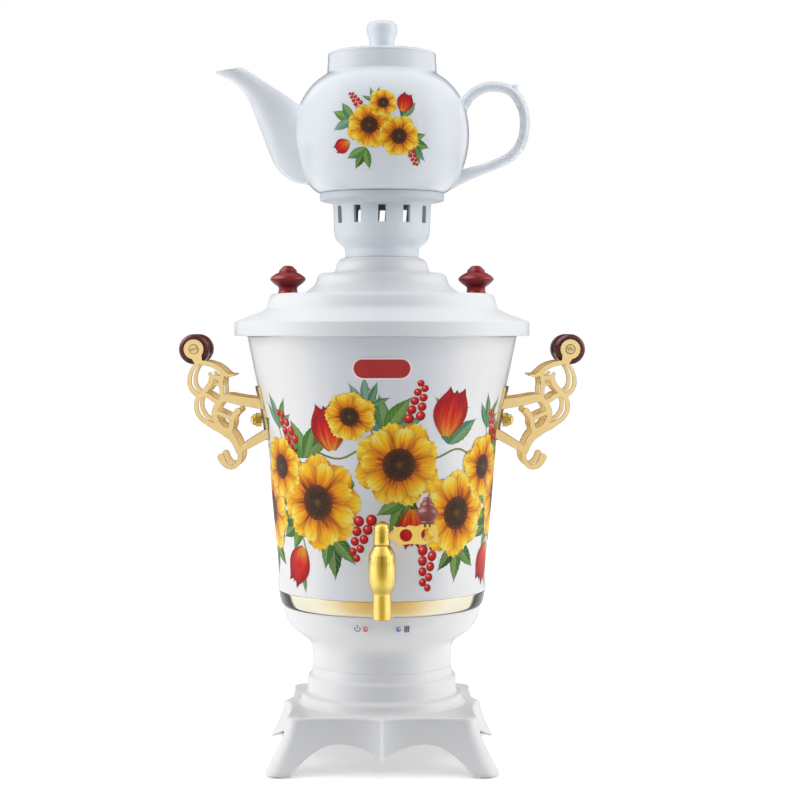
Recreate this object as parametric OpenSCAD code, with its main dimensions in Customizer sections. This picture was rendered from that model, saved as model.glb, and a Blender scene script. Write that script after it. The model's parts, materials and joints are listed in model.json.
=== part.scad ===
// Electric samovar with a flared tank, a perforated crown and a china teapot.
// Origin: middle of the footprint, on the floor. +Z is up, the tap faces -Y,
// the teapot's spout points to -X. All sizes are in millimetres.

/* [Stand] */
// Height of the stand, up to its seam with the bowl
stand_h = 68; // [66:1:70]
// Height of the stand's platform
platform_h = 40; // [38:1:42]
// Half width of the platform at its corners
platform_half = 68.6; // [66:0.2:71]
// How far the middle of each platform side comes out to a point
side_point = 6; // [4:0.5:7]
// Outward sweep of the legs, 34 mm below the platform
leg_sweep = 13; // [10:0.5:15]
// Wall of the moulded stand
stand_wall = 3; // [2.5:0.5:3.5]

/* [Bowl and band] */
// Radius of the pedestal's neck
neck_r = 51.75; // [50:0.25:53]
// Height of the bowl above the stand
bowl_h = 42.5; // [41:0.5:44]
// Radius at the bowl's rim
bowl_r = 73.5; // [72:0.5:75]
// Height of the gold band
band_h = 12; // [11:0.5:13]

/* [Tank] */
// Outer radius at the foot of the casing
casing_foot_r = 78; // [77:0.5:80]
// Outer radius at the mouth of the casing
casing_mouth_r = 100.5; // [98:0.5:102]
// Height of the casing
casing_h = 189.5; // [186:0.5:194]
// Sheet thickness of the casing
casing_t = 1.2; // [1:0.1:1.5]
// Gap between the casing and the inner tank
jacket_gap = 4.8; // [4.4:0.1:5.2]
// Sheet thickness of the inner tank
tank_t = 1; // [0.8:0.1:1.2]

/* [Lid and crown] */
// Radius of the lid's rim
lid_r = 110.25; // [108:0.25:112]
// Height of the lid, from the bottom of its rim
lid_h = 58.5; // [57:0.5:60]
// Wall of the moulded lid
lid_wall = 2.5; // [2:0.25:3]
// Distance between the two lid knobs
lid_knob_span = 141; // [138:1:144]
// Height of the crown, from the lid to its rim
crown_h = 48; // [46:0.5:50]
// Radius of the crown's rim
crown_r = 46.5; // [46:0.25:48]
// Number of windows round the crown
windows = 12; // [8:1:14]
// Width of a crown window
window_w = 5.5; // [4:0.5:7]
// Height of a crown window
window_h = 12.6; // [10:0.2:13]

/* [Teapot] */
// Widest radius of the teapot
pot_r = 65; // [63:0.5:67]
// Height of the teapot's body, to the top of its collar
pot_h = 102; // [100:0.5:108]
// Wall of the china
china_t = 3.5; // [3:0.25:4]

/* [Tap] */
// Distance from the casing to the tap's axis
tap_reach = 26; // [25:0.5:28]
// Height of the tap's shank above the floor
tap_z = 152; // [150:0.5:153]
// Length of the tap's lever from its axis
lever_l = 38.8; // [37:0.2:41]

/* [Side handles] */
// Distance from the samovar's axis to the axis of a grip
grip_x = 139; // [138:0.5:140]
// Height of the grips above the floor
grip_z = 303; // [302:0.5:304]
// Distance between the middles of a handle's two cheeks
cheek_span = 45; // [44:0.5:48]
// Sheet thickness of the cheeks
cheek_t = 2; // [1.6:0.2:2.4]
// Radius of a turned grip
grip_r = 11.2; // [10.5:0.1:11.8]

/* [Hidden] */

$fn = 72;
touch = 0.05;      // running clearance of pins and spigots that stay still
rest_gap = 0.3;    // gap under each piece that lifts off
tie_r = 3;

// Levels, counted from the floor.
rubber_h = 1;
bowl_z = stand_h;
band_z = bowl_z + bowl_h;
casing_z = band_z + band_h;
rim_z = casing_z + casing_h;
lid_z = rim_z + 0.75;
lid_top = lid_z + lid_h;
crown_z = lid_top + rest_gap;
crown_top = crown_z + crown_h;
pot_z = crown_top + 0.75;
pot_top = pot_z + pot_h;
shelf_z = stand_h - 8;
tank_z = casing_z + 7.5;
tap_y = -(casing_foot_r + tap_reach);
lid_knob_x = lid_knob_span / 2;

// Colours.
white_c = [0.93, 0.94, 0.96];
china_c = [0.90, 0.93, 0.97];
gold_c = [0.93, 0.76, 0.40];
bright_gold_c = [0.88, 0.68, 0.20];
wood_c = [0.52, 0.09, 0.10];
steel_c = [0.72, 0.73, 0.75];
black_c = [0.08, 0.08, 0.09];

// ---------------------------------------------------------------- helpers

// One Catmull-Rom span from b to c.
function span(a, b, c, d, t) =
  0.5 * (2 * b + (c - a) * t + (2 * a - 5 * b + 4 * c - d) * t * t
  + (3 * b - a - 3 * c + d) * t * t * t);

// A smooth curve through the points p, with n steps between each two.
function smooth(p, n = 4) = [
  for (i = [0 : len(p) - 2], k = [0 : n - 1])
    span(p[max(i - 1, 0)], p[i], p[i + 1], p[min(i + 2, len(p) - 1)], k / n),
  p[len(p) - 1]
];

function reversed(p) = [for (i = [len(p) - 1 : -1 : 0]) p[i]];

function heading(p, i) =
  let (d = p[min(i + 1, len(p) - 1)] - p[max(i - 1, 0)]) d / norm(d);

// The path p moved sideways by d, to the left of its travel.
function beside(p, d) = [
  for (i = [0 : len(p) - 1])
    let (h = heading(p, i)) p[i] + d * [-h[1], h[0]]
];

// A wall of thickness t inside the rising path p, cut level at both ends.
function wall(p, t) = let (q = beside(p, t), n = len(p) - 1) concat(
  p, [[q[n][0], p[n][1]]], [for (i = [n - 1 : -1 : 1]) q[i]], [[q[0][0], p[0][1]]]
);

function raised(p, z) = [for (q = p) [q[0], q[1] + z]];

module turned(outline, n = 96) rotate_extrude($fn = n) polygon(outline);

// A rod along Y between two depths.
module rod_y(r, y1, y2, n = 40)
  translate([0, y1, 0]) rotate([-90, 0, 0]) cylinder(h = y2 - y1, r = r, $fn = n);

module tube(r1, r2, h, n = 48) difference() {
  cylinder(h = h, r = r2, $fn = n);
  translate([0, 0, -1]) cylinder(h = h + 2, r = r1, $fn = n);
}

module hex_nut(flats, bore, h) difference() {
  cylinder(h = h, r = flats / 2 / cos(30), $fn = 6);
  translate([0, 0, -1]) cylinder(h = h + 2, r = bore, $fn = 32);
}

module both_sides() {
  children();
  mirror([1, 0, 0]) children();
}

// A closed skin over rings of points, each with the same count, the first and
// the last ring closed flat. Each ring turns clockwise as seen from the next.
module skin(rings) {
  n = len(rings[0]);
  m = len(rings);
  polyhedron(
    points = [for (r = rings, p = r) p],
    faces = concat(
      [[for (k = [0 : n - 1]) k]],
      [for (i = [0 : m - 2], k = [0 : n - 1])
        [i * n + k, (i + 1) * n + k, (i + 1) * n + (k + 1) % n]],
      [for (i = [0 : m - 2], k = [0 : n - 1])
        [i * n + k, (i + 1) * n + (k + 1) % n, i * n + (k + 1) % n]],
      [[for (k = [n - 1 : -1 : 0]) (m - 1) * n + k]]
    )
  );
}

// ------------------------------------------------------------------ stand

sweep_depth = 34;
waist_half = platform_half - 1.8;
corner_r = 9;
corner_c = platform_half - corner_r;
foot_start = 53.5;
arch_peak = 29;
arch_h = 22;
tip_z = 13;
edge_round = 1.4;

// Outward distance of a platform side at y from its middle.
function side_x(y) =
  waist_half
  + (y < 35 ? (platform_half + side_point - 1 - waist_half) * pow(1 - y / 35, 2.3) : 0)
  + (y > 35 ? (platform_half - waist_half) * pow((y - 35) / (corner_c - 35), 2) : 0);

// Height of the apron's lower edge at y from the middle of a side.
function arch_z(y) =
  y < arch_peak ? arch_h - (arch_h - tip_z) * pow(1 - y / arch_peak, 2)
  : y < foot_start ? max(rubber_h, arch_h * sqrt(1 - pow((y - arch_peak) / (foot_start - arch_peak), 2)))
  : rubber_h;

steps = 9;
// One eighth of the plan, from a side's middle to its corner: x, y, low edge.
eighth = concat(
  [for (k = [0 : steps])
    let (y = foot_start * (1 - cos(180 * k / steps)) / 2) [side_x(y), y, arch_z(y)]],
  [for (a = [0 : 15 : 45])
    [corner_c + corner_r * cos(a), corner_c + corner_r * sin(a), rubber_h]]
);
quarter = concat(
  eighth,
  [for (i = [len(eighth) - 2 : -1 : 1]) [eighth[i][1], eighth[i][0], eighth[i][2]]]
);
// The whole plan, clockwise from above.
plan = reversed([
  for (q = [0 : 3], p = quarter)
    [p[0] * cos(90 * q) - p[1] * sin(90 * q), p[0] * sin(90 * q) + p[1] * cos(90 * q), p[2]]
]);

function flare(z) = 1 + leg_sweep * pow(max(platform_h - z, 0) / sweep_depth, 1.6) / platform_half;

// A ring of the leg skin at share v of the way down, drawn in by a wall.
function leg_ring(v, inset, top) = [
  for (p = plan)
    let (z = top - v * (top - p[2]), k = flare(z) - inset / platform_half)
      [p[0] * k, p[1] * k, z]
];

module leg_skin() {
  shares = [0, 0.2, 0.42, 0.64, 0.84, 1];
  top = platform_h - edge_round;
  skin(concat(
    [leg_ring(0, edge_round, platform_h)],
    [for (v = shares) leg_ring(v, 0, top)],
    [for (i = [len(shares) - 1 : -1 : 0]) leg_ring(shares[i], stand_wall, platform_h - stand_wall)]
  ));
}

stand_neck = [
  [platform_half - 7, platform_h - 1], [61.4, platform_h + 1.2], [60.2, platform_h + 3.2],
  [60, platform_h + 5.2], [58.8, platform_h + 6.8], [56.6, platform_h + 7.8],
  [55.5, platform_h + 9], [55.5, stand_h - 10], [54.9, stand_h - 8.2], [53.4, stand_h - 6.2],
  [52.7, stand_h - 5.2], [52.2, stand_h - 2.5], [neck_r, stand_h]
];
foot_c = 72.5;       // middle of each foot, along X and along Y
screw_ring = 34;     // radius of the ring of base screws
screw_r = 2;
screw_hole = 2.3;
boss_r = 5.5;
shelf_t = 3;
bore_r = neck_r - 3.8;
plate_under = 42;    // underside of the base plate

module at_feet() for (a = [45 : 90 : 315]) rotate([0, 0, a]) translate([foot_c * sqrt(2), 0, 0]) children();
module at_screws() for (a = [45 : 90 : 315]) rotate([0, 0, a]) translate([screw_ring, 0, 0]) children();

module stand() color(white_c) difference() {
  union() {
    leg_skin();
    turned(concat([[bore_r - 1.2, platform_h - stand_wall], [61.6, platform_h - stand_wall]],
      stand_neck, [[bore_r - 1.2, stand_h]]));
    at_feet() translate([0, 0, rubber_h]) cylinder(h = 5, r = 9, $fn = 32);
    translate([0, 0, shelf_z]) tube(20, bore_r - 0.2, shelf_t, 72);
  }
  translate([0, 0, platform_h - 8]) cylinder(h = shelf_z - platform_h + 8, r = bore_r);
  translate([0, 0, shelf_z + shelf_t]) cylinder(h = 10, r = bore_r);
  at_screws() translate([0, 0, platform_h]) cylinder(h = 30, r = screw_hole, $fn = 32);
}

module rubber_feet() color(black_c) at_feet() cylinder(h = rubber_h, r = 7, $fn = 32);

// The base plate has ribs, air slots between them and a pillar for each screw.
module base_plate() color(white_c) difference() {
  union() {
    translate([0, 0, plate_under]) cylinder(h = 2, r = bore_r - rest_gap);
    at_screws() translate([0, 0, plate_under]) cylinder(h = shelf_z - plate_under, r = boss_r, $fn = 32);
    for (x = [-21 : 7 : 21]) translate([x - 1, -12, plate_under - 1]) cube([2, 24, 1.5]);
  }
  at_screws() translate([0, 0, plate_under - 2]) cylinder(h = 25, r = screw_hole, $fn = 32);
  for (x = [-17.5 : 7 : 17.5]) translate([x - 1.5, -10, plate_under - 2]) cube([3, 20, 5]);
}

module base_screws() color(steel_c) at_screws() translate([0, 0, plate_under]) difference() {
  union() {
    translate([0, 0, -2.2]) cylinder(h = 2.2, r = 4, $fn = 32);
    cylinder(h = 37, r = screw_r, $fn = 32);
  }
  for (a = [0, 90]) rotate([0, 0, a]) translate([-0.5, -3, -2.3]) cube([1, 6, 1]);
}

// ----------------------------------------------------------- bowl and band

bowl_t = 2.5;
lip_r = bowl_r - 1.5;
bowl_outer = raised(smooth([
  [neck_r, 0], [neck_r, 8], [neck_r + 1, 13.5], [neck_r + 3.8, 19], [neck_r + 10, 23.5],
  [neck_r + 15.8, 28], [neck_r + 19, 33], [neck_r + 21, 38], [bowl_r, bowl_h]
], 3), bowl_z);
rear_w = 60;
rear_y = bowl_r + 1;
rear_z = bowl_z + 17;
rear_h = band_z - rear_z;
inlet_x = -11;
inlet_z = rear_z + rear_h / 2;
switch_x = 17;
lamp_x = 11.8;
lamp_r = 1.8;
spigot_h = shelf_t + 5;
lamp_z = band_z - 6.5;
board_y = -lip_r + 11;

module bowl_solid() turned(concat([[0, bowl_z]], bowl_outer, [[0, band_z]]));
module bowl_hollow() turned(concat(
  [[0, bowl_z + 3]], beside([for (p = bowl_outer) if (p[1] > bowl_z + 3) p], bowl_t),
  [[lip_r - bowl_t, band_z], [lip_r - bowl_t, casing_z + 1], [0, casing_z + 1]]
));
module rear_boss(inset) translate([-rear_w / 2 + inset, 20, rear_z + inset])
  cube([rear_w - 2 * inset, rear_y - 20 - inset, rear_h - 2 * inset]);

module lower_bowl() color(white_c) difference() {
  union() {
    difference() {
      union() {
        bowl_solid();
        rear_boss(0);
        turned([[0, band_z - 1], [lip_r, band_z - 1], [lip_r, casing_z], [0, casing_z]]);
      }
      bowl_hollow();
      difference() {
        rear_boss(bowl_t);
        cylinder(h = bowl_z + 3, r = 90);
      }
    }
    translate([0, 0, shelf_z + shelf_t]) cylinder(h = spigot_h, r = bore_r - 0.15);
    at_screws() translate([0, 0, bowl_z]) cylinder(h = 14, r = boss_r, $fn = 32);
    both_sides() translate([lamp_x + 4, -lip_r + 2, lamp_z - 4]) cube([3, board_y + lip_r - 2, 8]);
  }
  at_screws() translate([0, 0, shelf_z]) cylinder(h = 20, r = screw_r + touch, $fn = 32);
  translate([0, 0, shelf_z]) cylinder(h = 20, r = tie_r + 0.3, $fn = 32);
  for (x = [-14, 14]) translate([x, 0, shelf_z]) cylinder(h = 20, r = 3, $fn = 32);
  both_sides() translate([lamp_x, 0, lamp_z]) rod_y(lamp_r + touch, -bowl_r - 2, -60);
  translate([inlet_x - 12.5, rear_y - 5, inlet_z - 9]) cube([25, 10, 18]);
  translate([switch_x - 6.5, rear_y - 5, inlet_z - 9.4]) cube([13, 10, 18.8]);
}

module gold_band() color(gold_c) turned([
  [lip_r + touch, band_z], [bowl_r + 0.3, band_z], [casing_foot_r - 0.4, casing_z - 0.6],
  [casing_foot_r - 0.6, casing_z - touch], [casing_foot_r - 2, casing_z - touch], [lip_r + touch, band_z + 3]
], 128);

// ------------------------------------------------------------------- tank

flare_points = [
  [casing_foot_r, 0], [casing_foot_r, 25], [casing_foot_r + 3.6, 67], [casing_foot_r + 6, 97],
  [casing_foot_r + 9.2, 126], [casing_foot_r + 15.6, 156], [casing_mouth_r, casing_h]
];
casing_outer = raised(smooth(flare_points, 4), casing_z);
bolt_z = rim_z - 62;
bolt_shank_r = 2.5;

module casing_solid(grow = 0) turned(concat(
  [[0, casing_z]], beside(casing_outer, -grow), [[0, rim_z]]), 128);

module tap_hole(r) translate([0, 0, tap_z]) rod_y(r, tap_y, -50);
module at_bolts() for (s = [-1, 1]) translate([0, 0, bolt_z]) rotate([0, s * 90, 0]) children();

module outer_casing() color(white_c) difference() {
  union() {
    turned(wall(casing_outer, casing_t), 128);
    translate([0, 0, casing_z]) tube(lip_r - 3, casing_foot_r - 0.5, casing_t, 128);
  }
  tap_hole(shank_r + 0.3);
  at_bolts() cylinder(h = 120, r = bolt_shank_r + 0.1, $fn = 32);
}

plate_w = 42;
plate_h = 15.5;
plate_z = rim_z - 22;
module nameplate() color(wood_c) intersection() {
  translate([0, 0, plate_z]) rotate([90, 0, 0]) translate([0, 0, 80]) linear_extrude(30) union() {
    square([plate_w - plate_h * 0.8, plate_h], center = true);
    square([plate_w, plate_h * 0.2], center = true);
    for (x = [-1, 1], z = [-1, 1])
      translate([x * (plate_w / 2 - plate_h * 0.4), z * plate_h * 0.1]) circle(r = plate_h * 0.4);
  }
  turned(concat(beside(casing_outer, -0.02), reversed(beside(casing_outer, -1.1))), 128);
}

// The inner tank follows the casing, then turns in to a flat floor.
tank_wall = [
  for (p = beside(casing_outer, casing_t + jacket_gap)) if (p[1] > tank_z + 12 && p[1] < rim_z - 1) p
];
tank_outer = concat(
  smooth([[60, tank_z], [67, tank_z + 1.6], [71, tank_z + 6], [tank_wall[0][0], tank_z + 11.5]], 3),
  tank_wall, [[casing_mouth_r - casing_t - jacket_gap, rim_z]]
);
mouth_r = casing_mouth_r - casing_t - jacket_gap - tank_t;

module inner_tank() color(steel_c) difference() {
  union() {
    turned(concat([[0, tank_z]], tank_outer, reversed(beside(tank_outer, tank_t)), [[0, tank_z + tank_t]]));
    translate([0, 0, rim_z]) tube(mouth_r, casing_mouth_r + 0.4, 0.8, 128);
  }
  tap_hole(shank_r + 0.1);
  for (x = [-element_x, element_x]) translate([x, element_y, tank_z - 5]) cylinder(h = 10, r = 5.1, $fn = 40);
}

// A rod welded under the tank pulls it down on the bowl through the casing.
nut_h = 5;
nut_washer_h = 1.6;
nut_under = shelf_z + shelf_t - nut_washer_h - nut_h;
module tie_rod() color(steel_c) union() {
  translate([0, 0, tank_z - 1.5]) cylinder(h = 1.5, r = 9);
  translate([0, 0, nut_under - 1.6]) cylinder(h = tank_z - nut_under + 0.6, r = tie_r);
}
module tie_nut() color(steel_c) union() {
  translate([0, 0, nut_under + nut_h]) tube(tie_r + touch, 9, nut_washer_h);
  translate([0, 0, nut_under]) hex_nut(10, tie_r + touch, nut_h);
}

// ---------------------------------------------------------------- heating

element_r = 44;
element_tube = 3.6;
element_z = tank_z + 14;
element_gap = 14;
element_x = element_r * sin(element_gap);
element_y = element_r * cos(element_gap);

module heating_element() color([0.45, 0.44, 0.43]) union() {
  difference() {
    translate([0, 0, element_z]) rotate_extrude($fn = 96) translate([element_r, 0]) circle(r = element_tube, $fn = 32);
    translate([-element_x, element_r - 10, element_z - 6]) cube([2 * element_x, 20, 12]);
  }
  for (x = [-element_x, element_x]) translate([x, element_y, 0]) {
    translate([0, 0, element_z]) sphere(r = element_tube + 0.5, $fn = 32);
    translate([0, 0, tank_z - 14]) cylinder(h = element_z - tank_z + 14, r = element_tube, $fn = 32);
    translate([0, 0, tank_z + tank_t]) cylinder(h = 3, r = 8, $fn = 40);
    translate([0, 0, tank_z - 12]) cylinder(h = 13 + tank_t, r = 5, $fn = 40);
    translate([-2.4, -0.4, tank_z - 22]) cube([4.8, 0.8, 9]);
  }
}

module element_nuts() color([0.80, 0.66, 0.36]) for (x = [-element_x, element_x])
  translate([x, element_y, tank_z - 6]) hex_nut(14, 5 + touch, 6);

module thermostat() color(black_c) translate([-26, -6, 0]) union() {
  translate([0, 0, tank_z - 2]) cylinder(h = 2, r = 11);
  translate([0, 0, tank_z - 12]) cylinder(h = 10, r = 9);
  for (x = [-5, 5]) translate([x - 0.4, -2.4, tank_z - 19]) cube([0.8, 4.8, 8]);
}

module thermal_cutout() color([0.75, 0.72, 0.66]) translate([26, -6, 0]) union() {
  translate([0, 0, tank_z - 2]) cylinder(h = 2, r = 10);
  translate([0, 0, tank_z - 10]) cylinder(h = 8, r = 7.5);
  for (x = [-4, 4]) translate([x - 0.4, -2.4, tank_z - 17]) cube([0.8, 4.8, 8]);
}

// ---------------------------------------------------- lamps, inlet, switch

module lamp_board() color([0.12, 0.38, 0.20]) translate([-20, board_y, lamp_z - 5]) cube([40, 1.6, 10]);

module lamp(x, c) color(c) translate([x, 0, lamp_z]) union() {
  rod_y(lamp_r, -bowl_r + 1.6, board_y);
  intersection() {
    translate([0, -bowl_r + 2.2, 0]) sphere(r = lamp_r, $fn = 32);
    rod_y(lamp_r, -bowl_r - 2, -bowl_r + 2);
  }
}
module power_lamp() lamp(-lamp_x, [0.85, 0.10, 0.12]);
module heating_lamp() lamp(lamp_x, [0.10, 0.32, 0.80]);

pin_pitch = 7;
pin_w = 4;
pin_t = 2;
pin_end = rear_y - 24;
module at_pins() for (i = [-1 : 1]) translate([inlet_x + i * pin_pitch, 0, inlet_z + (i == 0 ? 2.5 : -1)]) children();

// An appliance inlet: a flange, a shroud and three flat pins.
module power_inlet() color(black_c) difference() {
  translate([inlet_x, 0, inlet_z]) difference() {
    union() {
      translate([-15, rear_y, -11]) cube([30, 2.4, 22]);
      translate([-12.3, rear_y - 17, -8.8]) cube([24.6, 18, 17.6]);
    }
    translate([-10.5, rear_y - 13, -7]) cube([21, 20, 14]);
  }
  at_pins() translate([-pin_w / 2 - touch, rear_y - 20, -pin_t / 2 - touch])
    cube([pin_w + 2 * touch, 10, pin_t + 2 * touch]);
}
module inlet_pins() color(steel_c) at_pins() translate([-pin_w / 2, pin_end, -pin_t / 2]) cube([pin_w, 22, pin_t]);

rocker_y = rear_y - 1;
pivot_r = 1.24;
switch_end = rear_y - 23;
module switch_housing() color(black_c) translate([switch_x, 0, inlet_z]) difference() {
  union() {
    translate([-7.5, rear_y, -10.5]) cube([15, 2, 21]);
    translate([-6.3, rear_y - 16, -9.2]) cube([12.6, 17, 18.4]);
    for (z = [-6, 0, 6]) translate([-2.4, switch_end, z - 0.4]) cube([4.8, 8, 0.8]);
  }
  translate([-4.9, rear_y - 12, -8]) cube([9.8, 20, 16]);
  translate([0, rocker_y, 0]) rotate([0, 90, 0]) cylinder(h = 11.6, r = pivot_r + 0.06, center = true, $fn = 32);
}
rocker_tilt = 9;
module switch_rocker() color([0.70, 0.06, 0.06]) translate([switch_x, rocker_y, inlet_z]) rotate([rocker_tilt, 0, 0]) union() {
  translate([-4.5, 0, 0]) rotate([90, 0, 90]) linear_extrude(9) polygon([
    [-4.2, -2.5], [0, -6.9], [4.9, -5], [4.9, 5], [0, 6.9], [-4.2, 2.5]
  ]);
  rotate([0, 90, 0]) cylinder(h = 11.2, r = pivot_r, center = true, $fn = 32);
}

// A wire as a tube of six sides through its points.
function wire_rings(p, r) = [
  for (i = [0 : len(p) - 1])
    let (
      d = p[min(i + 1, len(p) - 1)] - p[max(i - 1, 0)], t = d / norm(d),
      u0 = abs(t[2]) > 0.9 ? [1, 0, 0] : [0, 0, 1],
      u = cross(t, u0) / norm(cross(t, u0)), v = cross(t, u)
    ) [for (a = [0 : 60 : 300]) p[i] + r * (cos(a) * u + sin(a) * v)]
];
wire_r = 1.1;
wires = [
  [[inlet_x - 7, pin_end, inlet_z - 1], [inlet_x - 8, 42, inlet_z + 2], [-12.5, 40, tank_z - 27],
    [-element_x, element_y, tank_z - 22]],
  [[inlet_x + 7, pin_end, inlet_z - 1], [2, 45, inlet_z - 6], [12, 44, inlet_z - 5],
    [switch_x, switch_end, inlet_z - 6]],
  [[switch_x, switch_end, inlet_z + 6], [22, 40, 103], [30, 14, 106], [30, -6, tank_z - 17]],
  [[22, -6, tank_z - 17], [18, 8, 108], [14, 34, 106], [element_x, element_y, tank_z - 22]],
  [[-21, -6, tank_z - 19], [-19, -24, 104], [-14, -48, 102], [-10, board_y + 1.6, lamp_z]],
  [[inlet_x, pin_end, inlet_z + 2.5], [-8, 36, 96], [-4, 24, 106], [-5.5, 10.5, tank_z - 2]]
];
module internal_wiring() color([0.80, 0.10, 0.08]) for (w = wires)
  skin(wire_rings(smooth(w, 4), wire_r));

// -------------------------------------------------------------------- tap

tap_top = tap_z + 15.5;
tap_outlet = tap_z - 36;
barrel_r = 9.35;
outlet_r = 6.45;
tap_outer = concat(
  [[outlet_r, tap_outlet], [outlet_r - 0.25, tap_outlet + 16.5]],
  smooth([[outlet_r - 0.15, tap_outlet + 18], [7.4, tap_outlet + 20.2], [8.5, tap_outlet + 23.2],
    [barrel_r - 0.25, tap_outlet + 27], [barrel_r, tap_outlet + 31], [barrel_r, tap_outlet + 38],
    [barrel_r - 0.15, tap_outlet + 44.6]], 3),
  [[8.7, tap_top - 6], [5.9, tap_top - 0.4], [5.6, tap_top]]
);
plug_r = 4.4;
shank_r = 6;
stem_r = 2.5;
tap_collar_r = 8.4;
collar_y = -(casing_foot_r + 2.4);

module on_tap() translate([0, tap_y, 0]) children();

module tap_body() color(bright_gold_c) difference() {
  union() {
    on_tap() turned(concat([[0, tap_outlet]], tap_outer, [[0, tap_top]]), 72);
    translate([0, 0, tap_z]) rod_y(shank_r, tap_y, -64);
    translate([0, 0, tap_z]) rod_y(tap_collar_r, collar_y - 2.6, collar_y);
  }
  on_tap() translate([0, 0, tap_outlet - 1]) cylinder(h = 30, r = 4.2);
  on_tap() translate([0, 0, tap_z - 8.5]) cylinder(h = 40, r = plug_r + touch);
  translate([0, 0, tap_z]) rod_y(3.2, tap_y + 2, -60);
}

module tap_washers() color([0.85, 0.85, 0.82]) union() {
  difference() {
    translate([0, 0, tap_z]) rod_y(tap_collar_r, collar_y, -72);
    tap_hole(shank_r + touch);
    casing_solid();
  }
  intersection() {
    difference() {
      translate([0, 0, tap_z]) rod_y(9, -76, -68.6);
      tap_hole(shank_r + touch);
    }
    turned(concat([[0, tank_z + 8]], [for (p = beside(tank_outer, tank_t)) if (p[1] > tank_z + 12) p], [[0, rim_z]]));
  }
}
module tap_nut() color(bright_gold_c) translate([0, -64.6, tap_z]) rotate([90, 0, 0]) hex_nut(17, shank_r + touch, 4);

module tap_plug() color([0.80, 0.62, 0.28]) on_tap() difference() {
  union() {
    translate([0, 0, tap_z - 8.4]) cylinder(h = tap_top - tap_z + 8.4, r = plug_r);
    translate([0, 0, tap_top]) cylinder(h = 8, r = stem_r, $fn = 40);
  }
  translate([-6, 0, tap_z]) rotate([0, 90, 0]) cylinder(h = 6, r = 3, $fn = 40);
  translate([0, 0, tap_z - 9]) cylinder(h = 9, r = 3, $fn = 40);
}

cap_r = 5.9;
cap_z = tap_top + rest_gap;
module tap_cap() color(bright_gold_c) on_tap() difference() {
  turned(concat(
    [[0, cap_z], [cap_r - 0.3, cap_z], [cap_r, cap_z + 0.6], [cap_r - 0.15, cap_z + 12.2]],
    smooth([[cap_r - 0.6, cap_z + 13], [cap_r - 1.4, cap_z + 14.3], [3, cap_z + 15.9], [0, cap_z + 16.4]], 3)
  ), 64);
  translate([0, 0, cap_z - 1]) cylinder(h = 9, r = stem_r, $fn = 40);
}

// The lever is a sheet with wavy edges and two round holes.
lever_mid = tap_z + 23;
lever_knob_x = lever_l - 7.3;
peg_r = 1.6;
lever_hole_r = 4.3;
lever_edge = smooth([
  [cap_r - 1, 1.2], [8, 2], [7.8, 6], [10.6, 5.2], [13.4, 5.8], [16, 5.2], [18.6, 6.7], [24, 6], [27, 7.3],
  [34.4, 7.3], [lever_l - 0.4, 6.7], [lever_l, 1], [lever_l + 0.2, -5.4], [34.4, -4.8], [29, -6.9], [24, -6.6],
  [18.4, -6.5], [14.7, -7.1], [9.4, -8], [10.4, -6], [8.6, -4], [cap_r - 1, -3.2]
], 3);
module tap_lever() color(gold_c) on_tap() union() {
  difference() {
    translate([0, 1, lever_mid]) rotate([90, 0, 0]) linear_extrude(2) difference() {
      polygon(lever_edge);
      translate([16.6, -0.4]) circle(r = lever_hole_r);
      translate([lever_knob_x, 0]) circle(r = lever_hole_r);
    }
    translate([0, 0, cap_z - 1]) cylinder(h = 30, r = cap_r - 0.6);
  }
  translate([lever_knob_x, 0, lever_mid + 5.2]) cylinder(h = 2.4, r = 2.6, $fn = 32);
  translate([lever_knob_x, 0, lever_mid + 5.2]) cylinder(h = 12, r = peg_r, $fn = 32);
}

knob_z = lever_mid + 7.6;
module tap_knob() color([0.55, 0.20, 0.22]) on_tap() translate([lever_knob_x, 0, knob_z]) difference() {
  turned(concat([[0, 0], [4.6, 0]], smooth([
    [5.2, 0.9], [4.7, 2], [5.6, 3.4], [7.4, 6.4], [7.6, 8.4], [6.2, 10.8], [4.7, 11.8], [4.8, 13.3], [4, 14.9],
    [2.9, 15.6], [2.9, 16.8], [2, 18.1], [0, 18.7]
  ], 3)), 56);
  translate([0, 0, -1]) cylinder(h = 11, r = peg_r + touch, $fn = 32);
}

// ----------------------------------------------------------- side handles

// A scroll of sheet: a smooth centre line with a width that changes evenly.
function scroll(p, w1, w2) = let (
  c = smooth(p, 3), n = len(c) - 1,
  side = [for (i = [0 : n]) let (h = heading(c, i)) (w1 + (w2 - w1) * i / n) / 2 * [-h[1], h[0]]]
) concat([for (i = [0 : n]) c[i] + side[i]], [for (i = [n : -1 : 0]) c[i] - side[i]]);

eye_r = 7.4;
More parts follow.
